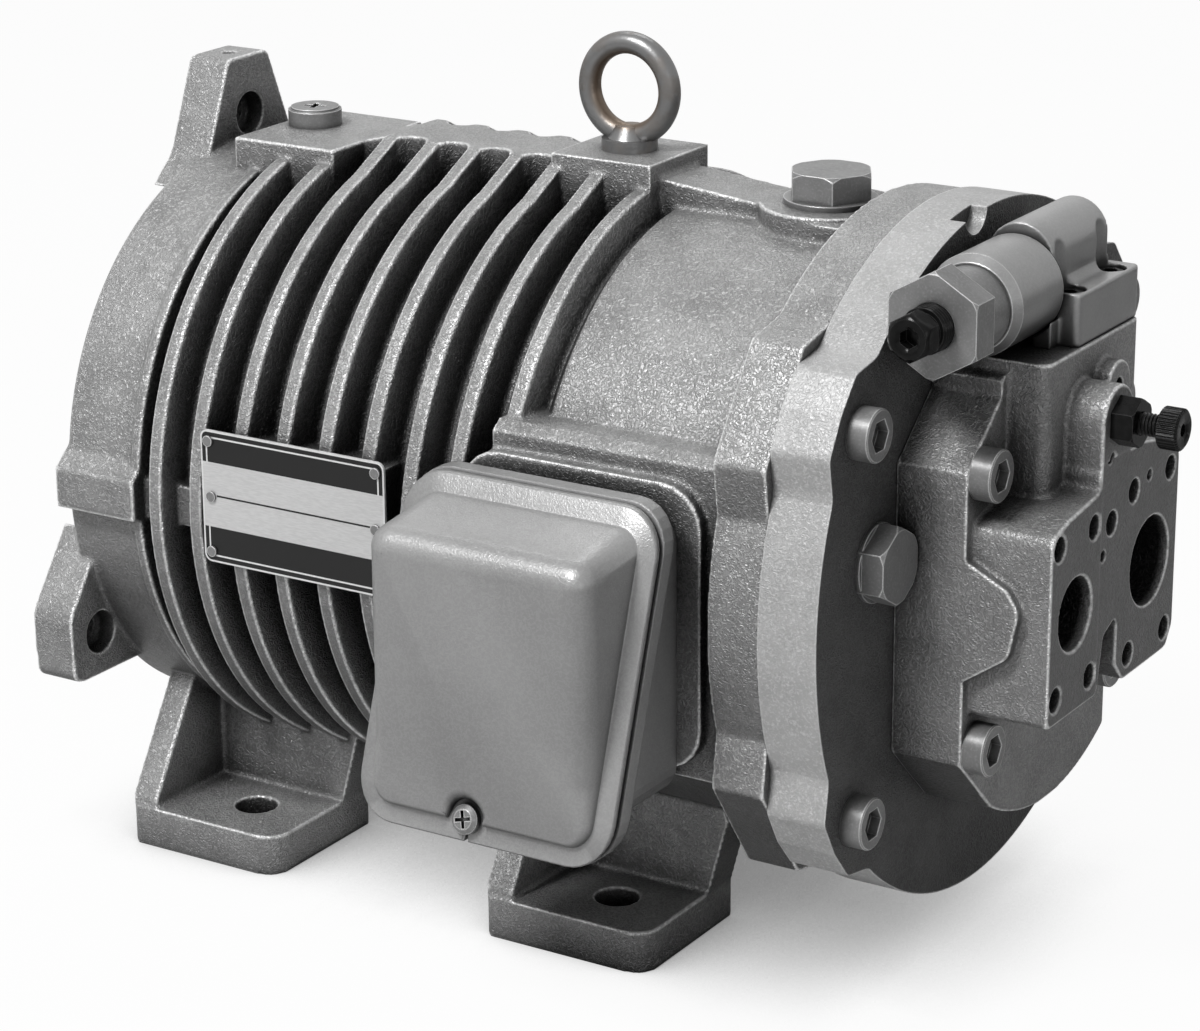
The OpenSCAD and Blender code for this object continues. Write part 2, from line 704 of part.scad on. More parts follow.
// Threaded holes in the frame
module frame_holes() {
  z_rod(eye_block_top - 22, eye_block_top + cut, eye_shank_d / 2 + seat_fit, eye_x);
  z_rod(fill_top - 14, fill_top + cut, 8 + seat_fit, fill_x);
  z_rod(vent_top - 10, vent_top + cut, 6 + seat_fit, vent_x);
  for (a = flange_angles) {
    p = on_circle(flange_screw_circle_r, a);
    x_rod(frame_front - 14, frame_front + cut, cap_shank_d / 2 + seat_fit, p[0], p[1]);
  }
  // Cable way from the windings to the terminal box
  y_rod(-pad_out - 8, -frame_bore_r + 12, cable_entry_d / 2, box_mid, shaft_h);
}

// Lugs inside the bell that hold the rear cover screws
module rear_lugs() {
  for (a = rear_screw_angles) {
    p = on_circle(rear_screw_circle_r, a);
    difference() {
      x_rod(rear_wall + 5, rear_wall + 18, 10, p[0], p[1]);
      x_rod(rear_wall, rear_wall + 16, 4 + seat_fit, p[0], p[1]);
    }
  }
}

module motor_frame() {
  color("silver") rear_lugs();
  color("silver") difference() {
    union() {
      x_turn(frame_profile);
      flat_lobes(flange_back, frame_front, flange_r, lobe_r);
      feet();
      top_ear();
      for (s = sides) scale([1, s, 1]) side_ear();
      top_forms();
      ledges();
      side_pads();
      plate_pad();
    }
    x_rod(ear_rear - cut, frame_front + cut, frame_bore_r);
    x_rod(ear_rear - cut, frame_rear, bell_r - 9);
    foot_holes();
    ear_holes();
    frame_holes();
    rear_screw_holes();
    // Fins cut back flush with the pad behind the terminal box
    box([box_x0 + 5, -fin_r - 5, box_low], [box_x1, pad_face, box_top]);
  }
}

// Rear cover: a disc let into the bell, with a hub for the rear bearing
rear_wall = frame_rear + rear_cover_t;
rear_bearing_x = rear_wall + 1;
rear_screw_angles = [for (i = [0:5]) 60 * i];
rear_lip_r = frame_bore_r + 5;

module rear_screw_holes() {
  x_rod(frame_rear - cut, frame_rear + rear_cover_t, rear_lip_r + seat_fit);
}

module rear_cover() {
  color("darkgray") difference() {
    union() {
      x_rod(frame_rear, rear_wall, rear_lip_r);
      x_rod(rear_wall - sink, rear_wall + 5, frame_bore_r - seat_fit);
      x_rod(rear_wall, rear_bearing_x + rear_bearing_w + 2, rear_bearing_r + 8);
      x_rod(frame_rear - 4, frame_rear + sink, bearing_cap_r + 3);
      for (i = [0:5]) translate([0, 0, shaft_h]) rotate([60 * i, 0, 0])
        box([frame_rear - 4, -3, bearing_cap_r], [frame_rear + sink, 3, rear_lip_r - 12]);
    }
    x_rod(rear_bearing_x, rear_wall + 40, rear_bearing_r + seat_fit);
    x_rod(frame_rear - 6, rear_wall + 40, shaft_rear_r + 6);
    for (a = rear_screw_angles) {
      p = on_circle(rear_screw_circle_r, a);
      x_rod(frame_rear - cut, rear_wall + 8, 4 + seat_fit, p[0], p[1]);
    }
    for (i = [0:3]) {
      p = on_circle(bearing_cap_r - 8, 90 * i + 45);
      x_rod(frame_rear - 6, frame_rear + 6, 3 + seat_fit, p[0], p[1]);
    }
  }
}

module rear_cover_screws() {
  color("dimgray") for (a = rear_screw_angles) {
    p = on_circle(rear_screw_circle_r, a);
    translate([frame_rear, p[0], p[1]]) mirror([1, 0, 0]) cap_screw(8, 13, 8, 6, rear_cover_t + 13);
  }
}

module bearing_cap() {
  x1 = frame_rear - 4;
  color("darkgray") difference() {
    union() {
      x_rod(x1 - bearing_cap_t, x1, bearing_cap_r);
      x_cone(x1 - bearing_cap_t - 3, x1 - bearing_cap_t, 22, 26);
    }
    for (i = [0:3]) {
      p = on_circle(bearing_cap_r - 8, 90 * i + 45);
      x_rod(x1 - 20, x1 + cut, 3 + seat_fit, p[0], p[1]);
    }
  }
}

module bearing_cap_screws() {
  color("dimgray") for (i = [0:3]) {
    p = on_circle(bearing_cap_r - 8, 90 * i + 45);
    translate([frame_rear - 4 - bearing_cap_t, p[0], p[1]]) mirror([1, 0, 0])
      cap_screw(6, 10, 6, 5, bearing_cap_t + 8);
  }
}

// Adapter flange between motor and pump, with the hub of the front bearing
front_bearing_x = frame_front - 23;
seal_x = frame_front - 1;
side_plate_x = adapter_face - 7;

module adapter_flange() {
  color("gainsboro") difference() {
    union() {
      lobes(frame_front, adapter_face, adapter_r, lobe_r);
      x_rod(frame_front - 8, frame_front + sink, frame_bore_r - seat_fit);
      x_rod(front_bearing_x - 3, frame_front, front_bearing_r + 11);
    }
    x_rod(front_bearing_x - 4, front_bearing_x + front_bearing_w, front_bearing_r + seat_fit);
    x_rod(front_bearing_x, seal_x + seal_w, seal_r + seat_fit);
    x_rod(front_bearing_x, adapter_face, shaft_seal_r + 3);
    x_rod(side_plate_x, adapter_face + cut, pump_bore_r);
    for (a = flange_angles) {
      p = on_circle(flange_screw_circle_r, a);
      x_rod(frame_front - cut, adapter_face + cut, cap_shank_d / 2 + 0.5, p[0], p[1]);
    }
    for (p = pump_screw_places)
      x_rod(adapter_face - 12, adapter_face + cut, cap_shank_d / 2 + seat_fit, p[0], p[1]);
    // Threaded hole of the drain plug
    x_rod(adapter_face - 10, adapter_face + cut, 8 + seat_fit, drain_y, drain_z);
    // Scallop at the top of the face
    x_rod(adapter_face - 6, adapter_face + cut, 8, pump_y - 3, shaft_h + adapter_r);
  }
}

module flange_screws() {
  color("gray") for (a = flange_angles) {
    p = on_circle(flange_screw_circle_r, a);
    translate([adapter_face, p[0], p[1]])
      cap_screw(cap_shank_d, cap_head_d, cap_head_h, cap_key, adapter_t + 12);
  }
}

// Plug on the face of the adapter flange
drain_y = -83.5;
drain_z = shaft_h + 19.5;

module hex_plug(af, h, shank_d, shank_l) {
  intersection() {
    linear_extrude(height = h) polygon(hexagon(af));
    cylinder(h = h, r1 = af, r2 = af / 2 + 1.2);
    translate([0, 0, h - af]) cylinder(h = af, r1 = 1.5 * af, r2 = 0.52 * af);
  }
  translate([0, 0, -shank_l]) cylinder(h = shank_l + sink, d = shank_d);
}

module drain_plug() {
  color("gray") translate([adapter_face, drain_y, drain_z]) rotate([0, 90, 0]) {
    hex_plug(plug_af, plug_h, 16, 9);
    cylinder(h = 1.6, d = plug_af + 3);
  }
}

module filler_plug() {
  color("gray") translate([fill_x, 0, fill_top + 2]) hex_plug(fill_af, plug_h, 16, 14);
}

module filler_washer() {
  color("silver") difference() {
    z_rod(fill_top, fill_top + 2, fill_washer_d / 2, fill_x);
    z_rod(fill_top - cut, fill_top + 3, 8 + seat_fit, fill_x);
  }
}

// Cross-slotted breather plug
module breather_plug() {
  color("silver") difference() {
    union() {
      z_rod(vent_top, vent_top + 6, vent_d / 2, vent_x);
      z_rod(vent_top + 6 - sink, vent_top + 7, vent_d / 2 - 1, vent_x);
      z_rod(vent_top - 9, vent_top + sink, 6, vent_x);
    }
    for (a = [0, 90]) translate([vent_x, 0, vent_top + 5]) rotate([0, 0, a + 20])
      translate([-4, -1, 0]) cube([8, 2, 4]);
  }
}

// Eye bolt: ring in the plane of the shaft, collar and shank
module lifting_eye() {
  mid = (eye_od - eye_wire) / 2;
  zc = eye_block_top + eye_collar_h + mid - 2;
  color("gray") union() {
    translate([eye_x, 0, zc]) rotate([90, 0, 0])
      rotate_extrude() translate([mid, 0]) circle(d = eye_wire, $fn = 24);
    difference() {
      union() {
        z_rod(eye_block_top, eye_block_top + 4, eye_collar_d / 2, eye_x);
        translate([eye_x, 0, eye_block_top + 4 - sink])
          cylinder(h = eye_collar_h - 2, d1 = eye_collar_d - 4, d2 = eye_wire + 2);
      }
      y_rod(-20, 20, eye_od / 2 - eye_wire + 0.5, eye_x, zc);
    }
    z_rod(eye_block_top - 20, eye_block_top + sink, eye_shank_d / 2, eye_x);
  }
}

// Terminal box: the rim plane leans out towards the bottom
function rim_y(z, off = 0) = -(rim_out_low + (rim_out_top - rim_out_low) * (z - box_low) / (box_top - box_low)) - off;
rim_lean = atan2(rim_out_low - rim_out_top, box_top - box_low);
pad_face = -pad_out - 5;

// Upright rounded rectangle of the box, drawn out along Y
module box_prism(inset, r) {
  y_slab(-cover_out - 20, pad_face, rounded(rect([box_x0 + inset, box_low + inset],
    [box_x1 - inset, box_top - inset]), r, 6));
}

// Wedge from the pad face out to a plane parallel to the rim
module rim_wedge(off0, off1) {
  x_slab(box_x0 - cut, box_x1 + cut, [[rim_y(box_low - 9, off0), box_low - 9],
    [rim_y(box_top + 9, off0), box_top + 9], [rim_y(box_top + 9, off1), box_top + 9],
    [rim_y(box_low - 9, off1), box_low - 9]]);
}

module terminal_box() {
  inner = 7;
  color("silver") difference() {
    union() {
      intersection() {
        box_prism(inner, box_corner_r - 4);
        rim_wedge(-60, -rim_t + sink);
      }
      intersection() {
        box_prism(0, box_corner_r);
        rim_wedge(-rim_t, 0);
      }
    }
    difference() {
      box_prism(inner + 6, box_corner_r - 8);
      box([box_x0, pad_face - 5, box_low], [box_x1, pad_face + 1, box_top]);
    }
    y_rod(pad_face - 8, pad_face + cut, cable_entry_d / 2, box_mid, shaft_h);
    cover_screw_holes();
    // Cable entry in the bottom wall
    z_rod(box_low, box_low + 30, cable_entry_d / 2, box_mid, gland_y);
  }
}

// Hole for the shank of the cover screw, square to the rim
module cover_screw_holes() {
  for (p = cover_screw_places) translate([p[0], rim_y(p[1]), p[1]])
    rotate([90 - rim_lean, 0, 0]) translate([0, 0, -5]) cylinder(h = 15, r = 2.5 + seat_fit);
}

gland_y = pad_face - 20;

module cable_gland_plug() {
  color("dimgray") union() {
    z_rod(box_low + 2.9, box_low + 18, cable_entry_d / 2 - seat_fit, box_mid, gland_y);
    translate([box_mid, gland_y, box_low - 1]) cylinder(h = 7.9, d = cable_entry_d + 7, $fn = 6);
  }
}

module terminal_gasket() {
  color("black") difference() {
    intersection() {
      box_prism(cover_step / 2, box_corner_r - 2);
      rim_wedge(0, gasket_t);
    }
    box_prism(13, box_corner_r - 7);
    cover_screw_holes();
  }
}

// Pressed cover with a flat front and soft edges
module cover_form(inset, off) {
  front = -cover_out + inset;
  top = box_top - cover_step - inset;
  low = box_low + cover_step + inset;
  intersection() {
    x_slab(box_x0 + cover_step + inset, box_x1 - cover_step - inset, rounded([[rim_y(low, off), low],
      [rim_y(top, off), top], [front, top - 5], [front, low]], [0, 0, cover_edge_r + 2, 2], 6));
    y_slab(-cover_out - 20, 0, rounded(rect([box_x0 + cover_step + inset, low],
      [box_x1 - cover_step - inset, top]), box_corner_r - cover_step, 6));
    z_slab(box_low, box_top, rounded(rect([box_x0 + cover_step + inset, front],
      [box_x1 - cover_step - inset, 0]), [cover_edge_r - inset, cover_edge_r - inset, 0, 0], 6));
  }
}

module terminal_cover() {
  color("lightgray") difference() {
    union() {
      intersection() {
        box_prism(0.5, box_corner_r);
        rim_wedge(gasket_t, gasket_t + 3);
      }
      cover_form(0, gasket_t + sink);
    }
    cover_form(cover_wall, gasket_t - 1);
    for (p = cover_screw_places)
      translate([p[0], rim_y(p[1]), p[1]]) rotate([90 - rim_lean, 0, 0]) {
        translate([0, 0, -2]) cylinder(h = 12, r = 2.5 + seat_fit);
        translate([0, 0, gasket_t + 3]) cylinder(h = 30, r = 6.4);
      }
  }
}

cover_screw_places = [[box_mid - 4.5, box_low + 6.5]];

module terminal_cover_screw() {
  color("gray") for (p = cover_screw_places)
    translate([p[0], rim_y(p[1]), p[1]]) rotate([90 - rim_lean, 0, 0]) difference() {
      union() {
        translate([0, 0, gasket_t + 3]) cylinder(h = 2.4, r = 5);
        translate([0, 0, gasket_t + 5.4]) cylinder(h = 1.2, r1 = 5, r2 = 3.4);
        translate([0, 0, -4.5]) cylinder(h = gasket_t + 8, r = 2.5);
      }
      for (a = [0, 90]) rotate([0, 0, a + 15]) translate([-3, -0.6, gasket_t + 5]) cube([6, 1.2, 3]);
    }
}

block_y = pad_face - 5;
block_z = shaft_h + 20;

module terminal_block() {
  color("saddlebrown") difference() {
    box([box_mid - 28, block_y - 14, block_z - 8], [box_mid + 28, block_y, block_z + 8]);
    for (i = [-1, 0, 1]) y_rod(block_y - 20, block_y + cut, 2 + seat_fit, box_mid + 18 * i, block_z);
    for (i = [-0.5, 0.5]) box([box_mid + 18 * i - 1, block_y - 15, block_z - 9],
      [box_mid + 18 * i + 1, block_y - 8, block_z + 9]);
  }
}

module terminal_studs() {
  color("goldenrod") for (i = [-1, 0, 1]) {
    y_rod(block_y - 22, block_y - 1, 2, box_mid + 18 * i, block_z);
    translate([box_mid + 18 * i, block_y - 14, block_z]) rotate([90, 0, 0])
      linear_extrude(height = 3.5) polygon(hexagon(8));
  }
}

// Bare plate on the fins with six rivets
plate_y = -fin_r;
plate_z = shaft_h + plate_rise;

module nameplate() {
  color("gray") difference() {
    y_slab(plate_y - plate_t, plate_y, rounded(rect([plate_mid - plate_len / 2, plate_z - plate_h / 2],
      [plate_mid + plate_len / 2, plate_z + plate_h / 2]), 3));
    for (p = rivet_places) y_rod(plate_y - 3, plate_y + cut, 1.2 + seat_fit, p[0], p[1]);
  }
}

rivet_places = [for (i = sides, k = [-1, 0, 1])
  [plate_mid + i * (plate_len / 2 - (k == 0 ? 4 : 3.5)), plate_z + k * (plate_h / 2 - 4)]];

module nameplate_rivets() {
  color("silver") for (p = rivet_places) {
    y_rod(plate_y - plate_t, plate_y, 1.2, p[0], p[1]);
    y_rod(plate_y - plate_t - 0.8, plate_y - plate_t, 2, p[0], p[1]);
  }
}

// Pump housing
pump_low = pump_y - pump_w / 2;
pump_high = pump_y + pump_w / 2;
pump_screw_places = [for (i = sides, k = sides)
  [pump_y + i * pump_screw_pitch / 2, shaft_h + k * pump_screw_pitch / 2]];
port_depth_in = 18;
port_way_x = port_face - port_depth_in - 7;
port_y0 = pump_y - port_out;
port_y1 = port_y0 + port_w;
suction_face = port_face - port_step;
port_split = (delivery_y + suction_y) / 2 - 12;
pump_back = adapter_face + 1.1 + ring_w;
chamber_end = pump_back + port_plate_t;
piston_x = adapter_face + 1.1 + ring_w / 2;
flow_z = shaft_h + flow_rise;
bias_end = pump_high + 20;
spring_room_r = 7.8;

module pump_flange() {
  intersection() {
    x_rod(adapter_face, pump_face, pump_r);
    x_slab(adapter_face, pump_face, [[pump_low, shaft_h - 52], [pump_low + 33, shaft_h - 84],
      [pump_low + 33, shaft_h - pump_r], [pump_high, shaft_h - pump_r], [pump_high, control_top],
      [pump_low + 24, control_top], [pump_low + 24, shaft_h + 70], [pump_low, shaft_h + 50]]);
  }
}

// Face outline of the port block
port_outline = [[port_y0, shaft_h - port_low], [port_y0, shaft_h + port_top], [port_y0 + 13, shaft_h + 34.5], [port_y0 + 33, shaft_h + 37],
  [port_y0 + 36, shaft_h + 38], [port_y0 + 36, shaft_h + 45], [port_y1 - 30, shaft_h + 45],
  [port_y1 - 6, shaft_h + 40], [port_y1, shaft_h + 33], [port_y1, shaft_h - 30], [port_y1 - 5, shaft_h - 37],
  [port_y1 - 41, shaft_h - 37.5], [port_y1 - 48, shaft_h - 30], [port_y1 - 48, shaft_h - 12],
  [port_y1 - 58, shaft_h - 16], [port_y1 - 62, shaft_h - port_low]];

module port_block() {
  x_slab(pump_face - sink, port_face, rounded(port_outline, [2, 4, 6, 3, 2, 2, 3, 3, 3, 3, 3, 3, 3, 2, 3, 2], 3));
  // Boss of the flow adjusting screw
  x_rod(pump_face, port_face, flow_boss_r, flow_y, flow_z);
  box([pump_face, flow_y - flow_boss_r, shaft_h + 40], [port_face, flow_y + flow_boss_r, flow_z]);
  // Lug beside it
  x_rod(control_face - 6, port_face - 8, 9, flow_y + 17, flow_z + 6);
}

// Side wall boss with its S-shaped front edge
module side_boss() {
  zc = shaft_h + 2;
  front = pump_face + side_boss_l;
  y_slab(pump_low, port_y0 + 3, rounded([[pump_face - 4, zc - 27], [pump_face, zc - 24],
    [front - 3, zc - 13], [front + 0.5, zc + 3.5], [front - 4, zc + 10.5],
    [pump_face, zc + 18], [pump_face - 4, zc + 21]], [0, 4, 7, 7, 5, 4, 0], 4));
}

module control_block() {
  z_slab(shaft_h + 20, control_top, rounded([[adapter_face, control_y0], [control_face, control_y0],
    [control_face, control_y1], [adapter_face, control_y1]], [0, 4, 4, 0], 4));
}

module flange_holes(face, y, pitch_y, pitch_z) {
  for (i = sides, k = sides)
    x_rod(face - port_hole_depth, port_face + cut, port_hole_d / 2, y + i * pitch_y / 2,
      shaft_h + k * pitch_z / 2);
}

// Suction half of the port face, a little lower than the delivery half
module suction_step() {
  box([suction_face, port_split, shaft_h - 50], [port_face + cut, port_y1 + cut, flow_z - flow_boss_r - sink]);
}

// Small plugged oil holes of the port face, as places in Y and height over the shaft
oil_holes = [[-23, 13], [13, 31.5], [-20, 46.5]];

module pump_housing() {
  color("darkgray") difference() {
    union() {
      pump_flange();
      port_block();
      side_boss();
      control_block();
      // Boss of the bias spring
      intersection() {
        y_rod(pump_high - 8, bias_end, 14, piston_x + 2, shaft_h);
        box([adapter_face, 0, 0], [pump_face, bias_end + cut, 2 * shaft_h]);
      }
    }
    x_rod(adapter_face - cut, chamber_end, pump_bore_r);
    // Delivery and suction ways
    x_rod(port_face - port_depth_in, port_face + cut, delivery_d / 2, delivery_y, shaft_h);
    x_rod(suction_face - port_depth_in, port_face + cut, suction_d / 2, suction_y, shaft_h);
    suction_step();
    for (w = [[-27, delivery_y], [20, suction_y]]) {
      x_rod(chamber_end - cut, port_way_x, 6, w[0], shaft_h);
      x_rod(port_way_x - 6, port_face - port_depth_in + cut, 8, w[1], shaft_h);
      y_rod(min(w), max(w), 6, port_way_x, shaft_h);
    }
    flange_holes(port_face, delivery_y, delivery_pitch_y, delivery_pitch_z);
    flange_holes(suction_face, suction_y, suction_pitch_y, suction_pitch_z);
    x_rod(suction_face - 14, port_face + cut, gauge_d / 2, -17, shaft_h + 23);
    for (p = oil_holes) x_rod(suction_face - 8, port_face + cut, 2, p[0], shaft_h + p[1]);
    x_rod(port_face - 14, port_face, 3, flow_y + 17, flow_z + 6);
    for (p = pump_screw_places) {
      x_rod(adapter_face - cut, pump_face + cut, cap_shank_d / 2 + 0.5, p[0], p[1]);
      x_rod(pump_face, port_face + cut, cap_head_d / 2 + 0.6, p[0], p[1]);
    }
    // Control piston bore, bias piston bore and spring chamber
    y_rod(-pump_bore_r - piston_l - 5, -pump_bore_r + 8, piston_r + run_fit, piston_x, shaft_h);
    y_rod(pump_bore_r - 8, bias_end + cut, piston_r + run_fit, piston_x, shaft_h);
    y_rod(pump_high, bias_end + cut, spring_room_r, piston_x, shaft_h);
    // Flow screw bore
    x_rod(control_face - 22, port_face + cut, flow_screw_d / 2 + run_fit, flow_y, flow_z);
    // Threaded holes of the compensator screws and its oil way
    for (p = comp_screw_places) z_rod(control_top - 12, control_top + cut, 3 + seat_fit, p[0], p[1]);
    z_rod(control_top - 30, control_top + cut, 3, comp_axis_x, comp_y0 + 20);
  }
}

module pump_screws() {
  color("gray") for (p = pump_screw_places)
    translate([pump_face, p[0], p[1]])
      cap_screw(cap_shank_d, cap_head_d, cap_head_h, cap_key, pump_flange_t + 10);
}

// Compensator along Y on top of the control block
comp_axis_x = adapter_face + comp_x;
comp_axis_z = control_top + comp_rise;
comp_y0 = control_y1 - comp_base_l;
comp_x0 = adapter_face + 1.5;
comp_x1 = control_face - 1;
comp_body_end = comp_y0 + comp_body_l;
sleeve_end = comp_y0 - comp_gap;
sleeve_start = sleeve_end - sleeve_l;
cap_hex_y1 = sleeve_start - cap_neck_l;
cap_hex_y0 = cap_hex_y1 - cap_hex_t;
comp_screw_places = [[comp_x1 - 6.9, comp_y0 + 6.5], [comp_x1 - 6.9, comp_y0 + comp_base_l - 9]];

comp_base_top = control_top + comp_base_h;
comp_neck_r = comp_arch_r - 2.5;

// Arched back over the spool, with a round fillet down to the base
module comp_arch() {
  arch_z = comp_base_top + comp_arch_h - comp_arch_r;
  wall = comp_axis_x + comp_arch_r;
  fillet = 4;
  y_rod(comp_y0, comp_body_end, comp_arch_r, comp_axis_x, arch_z);
  box([comp_axis_x - comp_arch_r, comp_y0, comp_base_top - sink], [wall, comp_body_end, arch_z]);
  difference() {
    box([wall - cut, comp_y0, comp_base_top - sink], [wall + fillet, comp_body_end, comp_base_top + fillet]);
    y_rod(comp_y0 - cut, comp_body_end + cut, fillet, wall + fillet, comp_base_top + fillet);
  }
}

// Step of the base under the spring sleeve
module comp_step() {
  difference() {
    box([comp_axis_x + 8, comp_y0 - 6, control_top], [comp_x1 - 7.5, comp_y0 + sink, comp_base_top - 7]);
    y_rod(comp_y0 - 8, comp_y0, sleeve_r + 0.5, comp_axis_x, comp_axis_z);
  }
}

module compensator_body() {
  top = comp_base_top;
  color("silver") difference() {
    union() {
      z_slab(control_top, top, rounded(rect([comp_x0, comp_y0], [comp_x1, comp_y0 + comp_base_l]), 2, 3));
      comp_arch();
      comp_step();
      y_rod(sleeve_end, comp_y0 + sink, comp_neck_r, comp_axis_x, comp_axis_z);
    }
    // Spool bore
    y_rod(sleeve_end - cut, comp_body_end - 8, spool_r + run_fit, comp_axis_x, comp_axis_z);
    y_rod(comp_body_end - 9, comp_body_end + cut, 6 + seat_fit, comp_axis_x, comp_axis_z);
    z_rod(control_top - cut, comp_axis_z, 2.5, comp_axis_x, comp_y0 + 20);
    // Screw holes, and the round relief beside the barrel for the screw head
    for (p = comp_screw_places) {
      z_rod(control_top - cut, top + cut, 3.3, p[0], p[1]);
      z_rod(top - 7, top + 14, 5.4, p[0], p[1]);
      translate([p[0], p[1], top + 14]) sphere(r = 5.4);
    }
  }
}

module compensator_screws() {
  color("dimgray") for (p = comp_screw_places)
    translate([p[0], p[1], control_top + comp_base_h - 7]) rotate([0, -90, 0])
      cap_screw(6, 10, 6, 5, comp_base_h - 7 + 10);
}

// Black ring between the sleeve and the body
module seal_ring() {
  color("black") difference() {
    y_rod(sleeve_end, comp_y0, comp_seal_r, comp_axis_x, comp_axis_z);
    y_rod(comp_y0 - 3, comp_y0 + cut, comp_neck_r + seat_fit, comp_axis_x, comp_axis_z);
  }
}

module spring_sleeve() {
  color("silver") translate([comp_axis_x, 0, comp_axis_z]) rotate([-90, 0, 0]) difference() {
    union() {
      translate([0, 0, sleeve_start + 3]) cylinder(h = sleeve_l - 3, r = sleeve_r);
      translate([0, 0, sleeve_start]) cylinder(h = 3, r1 = sleeve_r - 2.5, r2 = sleeve_r);
    }
    translate([0, 0, sleeve_start - cut]) cylinder(h = sleeve_l - 2, r = chamber_r);
    translate([0, 0, sleeve_start]) cylinder(h = sleeve_l + cut, r = spool_r + 1);
  }
}

module compensator_cap() {
  color("silver") difference() {
    translate([comp_axis_x, cap_hex_y1, comp_axis_z]) rotate([90, 30, 0]) intersection() {
      linear_extrude(height = cap_hex_t) polygon(hexagon(cap_af));
      translate([0, 0, cap_hex_t - cap_af]) cylinder(h = cap_af, r1 = 1.5 * cap_af, r2 = 0.545 * cap_af);
    }
    y_rod(cap_hex_y0 - cut, cap_hex_y1 + cut, press_screw_d / 2 + run_fit, comp_axis_x, comp_axis_z);
  }
  color("silver") difference() {
    union() {
      y_rod(cap_hex_y1, sleeve_start, cap_neck_r, comp_axis_x, comp_axis_z);
      y_rod(sleeve_start - sink, sleeve_start + 8, chamber_r - seat_fit, comp_axis_x, comp_axis_z);
    }
    y_rod(cap_hex_y1 - cut, sleeve_start + 9, press_screw_d / 2 + run_fit, comp_axis_x, comp_axis_z);
    y_rod(sleeve_start - 8, sleeve_start + 9, chamber_r - 2, comp_axis_x, comp_axis_z);
  }
}

press_head_l = 9;
press_stub_l = 8.5;
press_tip = sleeve_start - 4;

module pressure_screw() {
  head = cap_hex_y0 - press_stub_l;
  color([0.12, 0.12, 0.12]) difference() {
    union() {
      y_rod(head + 1.6, press_tip, press_screw_d / 2, comp_axis_x, comp_axis_z);
      y_rod(head, head + 2, press_head_af / 2 - 1, comp_axis_x, comp_axis_z);
      translate([comp_axis_x, head + sink, comp_axis_z]) rotate([90, 0, 0]) intersection() {
        linear_extrude(height = press_head_l) polygon(hexagon(press_head_af));
        cylinder(h = press_head_l, r1 = press_head_af, r2 = press_head_af / 2);
        cylinder(h = press_head_l, r1 = press_head_af / 2, r2 = press_head_af);
      }
    }
    translate([comp_axis_x, head - press_head_l + 6, comp_axis_z]) rotate([90, 0, 0])
      linear_extrude(height = 12) polygon(hexagon(6));
  }
}

seat_l = 5;

module spring_seat() {
  color("gray") union() {
    y_rod(press_tip + 0.1, press_tip + seat_l, chamber_r - 3, comp_axis_x, comp_axis_z);
    y_rod(press_tip + seat_l, press_tip + seat_l + 4, 4, comp_axis_x, comp_axis_z);
  }
}

// Coil of a spring: a loop of short rods would be heavy, so the turns are rings
module spring_rings(y0, y1, r, wire, turns, x, z) {
  pitch = (y1 - y0 - wire) / (turns - 1);
  for (i = [0:turns - 1]) translate([x, y0 + wire / 2 + i * pitch, z]) rotate([90, 0, 0])
    rotate_extrude($fn = 32) translate([r, 0]) circle(d = wire, $fn = 16);
  for (s = sides) y_rod(y0 + wire / 2, y1 - wire / 2, wire / 3, x + s * r, z);
}

spring_r = 6;
spool_head_y = sleeve_end - 6;

module pressure_spring() {
  color("steelblue")
    spring_rings(press_tip + seat_l + 0.1, spool_head_y - 2.6, spring_r, 1.8, 6, comp_axis_x, comp_axis_z);
}

module compensator_spool() {
  color("gainsboro") difference() {
    union() {
      y_rod(spool_head_y - 2.5, spool_head_y, spring_r + 1.5, comp_axis_x, comp_axis_z);
      y_rod(spool_head_y - sink, comp_body_end - 12, spool_r, comp_axis_x, comp_axis_z);
    }
    for (y = [comp_y0 + 4, comp_y0 + 14]) difference() {
      y_rod(y, y + 5, spool_r + 1, comp_axis_x, comp_axis_z);
      y_rod(y - 1, y + 6, spool_r - 1.5, comp_axis_x, comp_axis_z);
    }
  }
}

module end_plug() {
  color("dimgray") difference() {
    y_rod(comp_body_end - 7, comp_body_end - 0.5, 6, comp_axis_x, comp_axis_z);
    translate([comp_axis_x, comp_body_end, comp_axis_z]) rotate([90, 0, 0])
      linear_extrude(height = 4) polygon(hexagon(6));
  }
}

// Flow adjusting screw along X
flow_nut_t = 8;
flow_stem = 7;
flow_tip = control_face - 6;

module flow_lock_nut() {
  color([0.12, 0.12, 0.12]) translate([port_face, flow_y, flow_z]) rotate([0, 90, 0]) difference() {
    intersection() {
      linear_extrude(height = flow_nut_t) polygon(hexagon(flow_nut_af));
      cylinder(h = flow_nut_t, r1 = flow_nut_af, r2 = flow_nut_af / 2 + 0.5);
    }
    translate([0, 0, -cut]) cylinder(h = 12, r = flow_screw_d / 2 + run_fit);
  }
}

module flow_screw() {
  knob_x = port_face + flow_nut_t + flow_stem;
  teeth = 24;
  color([0.12, 0.12, 0.12]) union() {
    x_rod(flow_tip, knob_x, flow_screw_d / 2, flow_y, flow_z);
    translate([knob_x, flow_y, flow_z]) rotate([0, 90, 0]) difference() {
      cylinder(h = knob_t, d = knob_d);
      for (i = [0:teeth - 1]) rotate([0, 0, 360 / teeth * i])
        translate([knob_d / 2 + 0.3, 0, -cut]) cylinder(h = knob_t - 0.5, r = 0.8, $fn = 16);
      translate([0, 0, knob_t - 3]) linear_extrude(height = 4) polygon(hexagon(4));
    }
  }
}

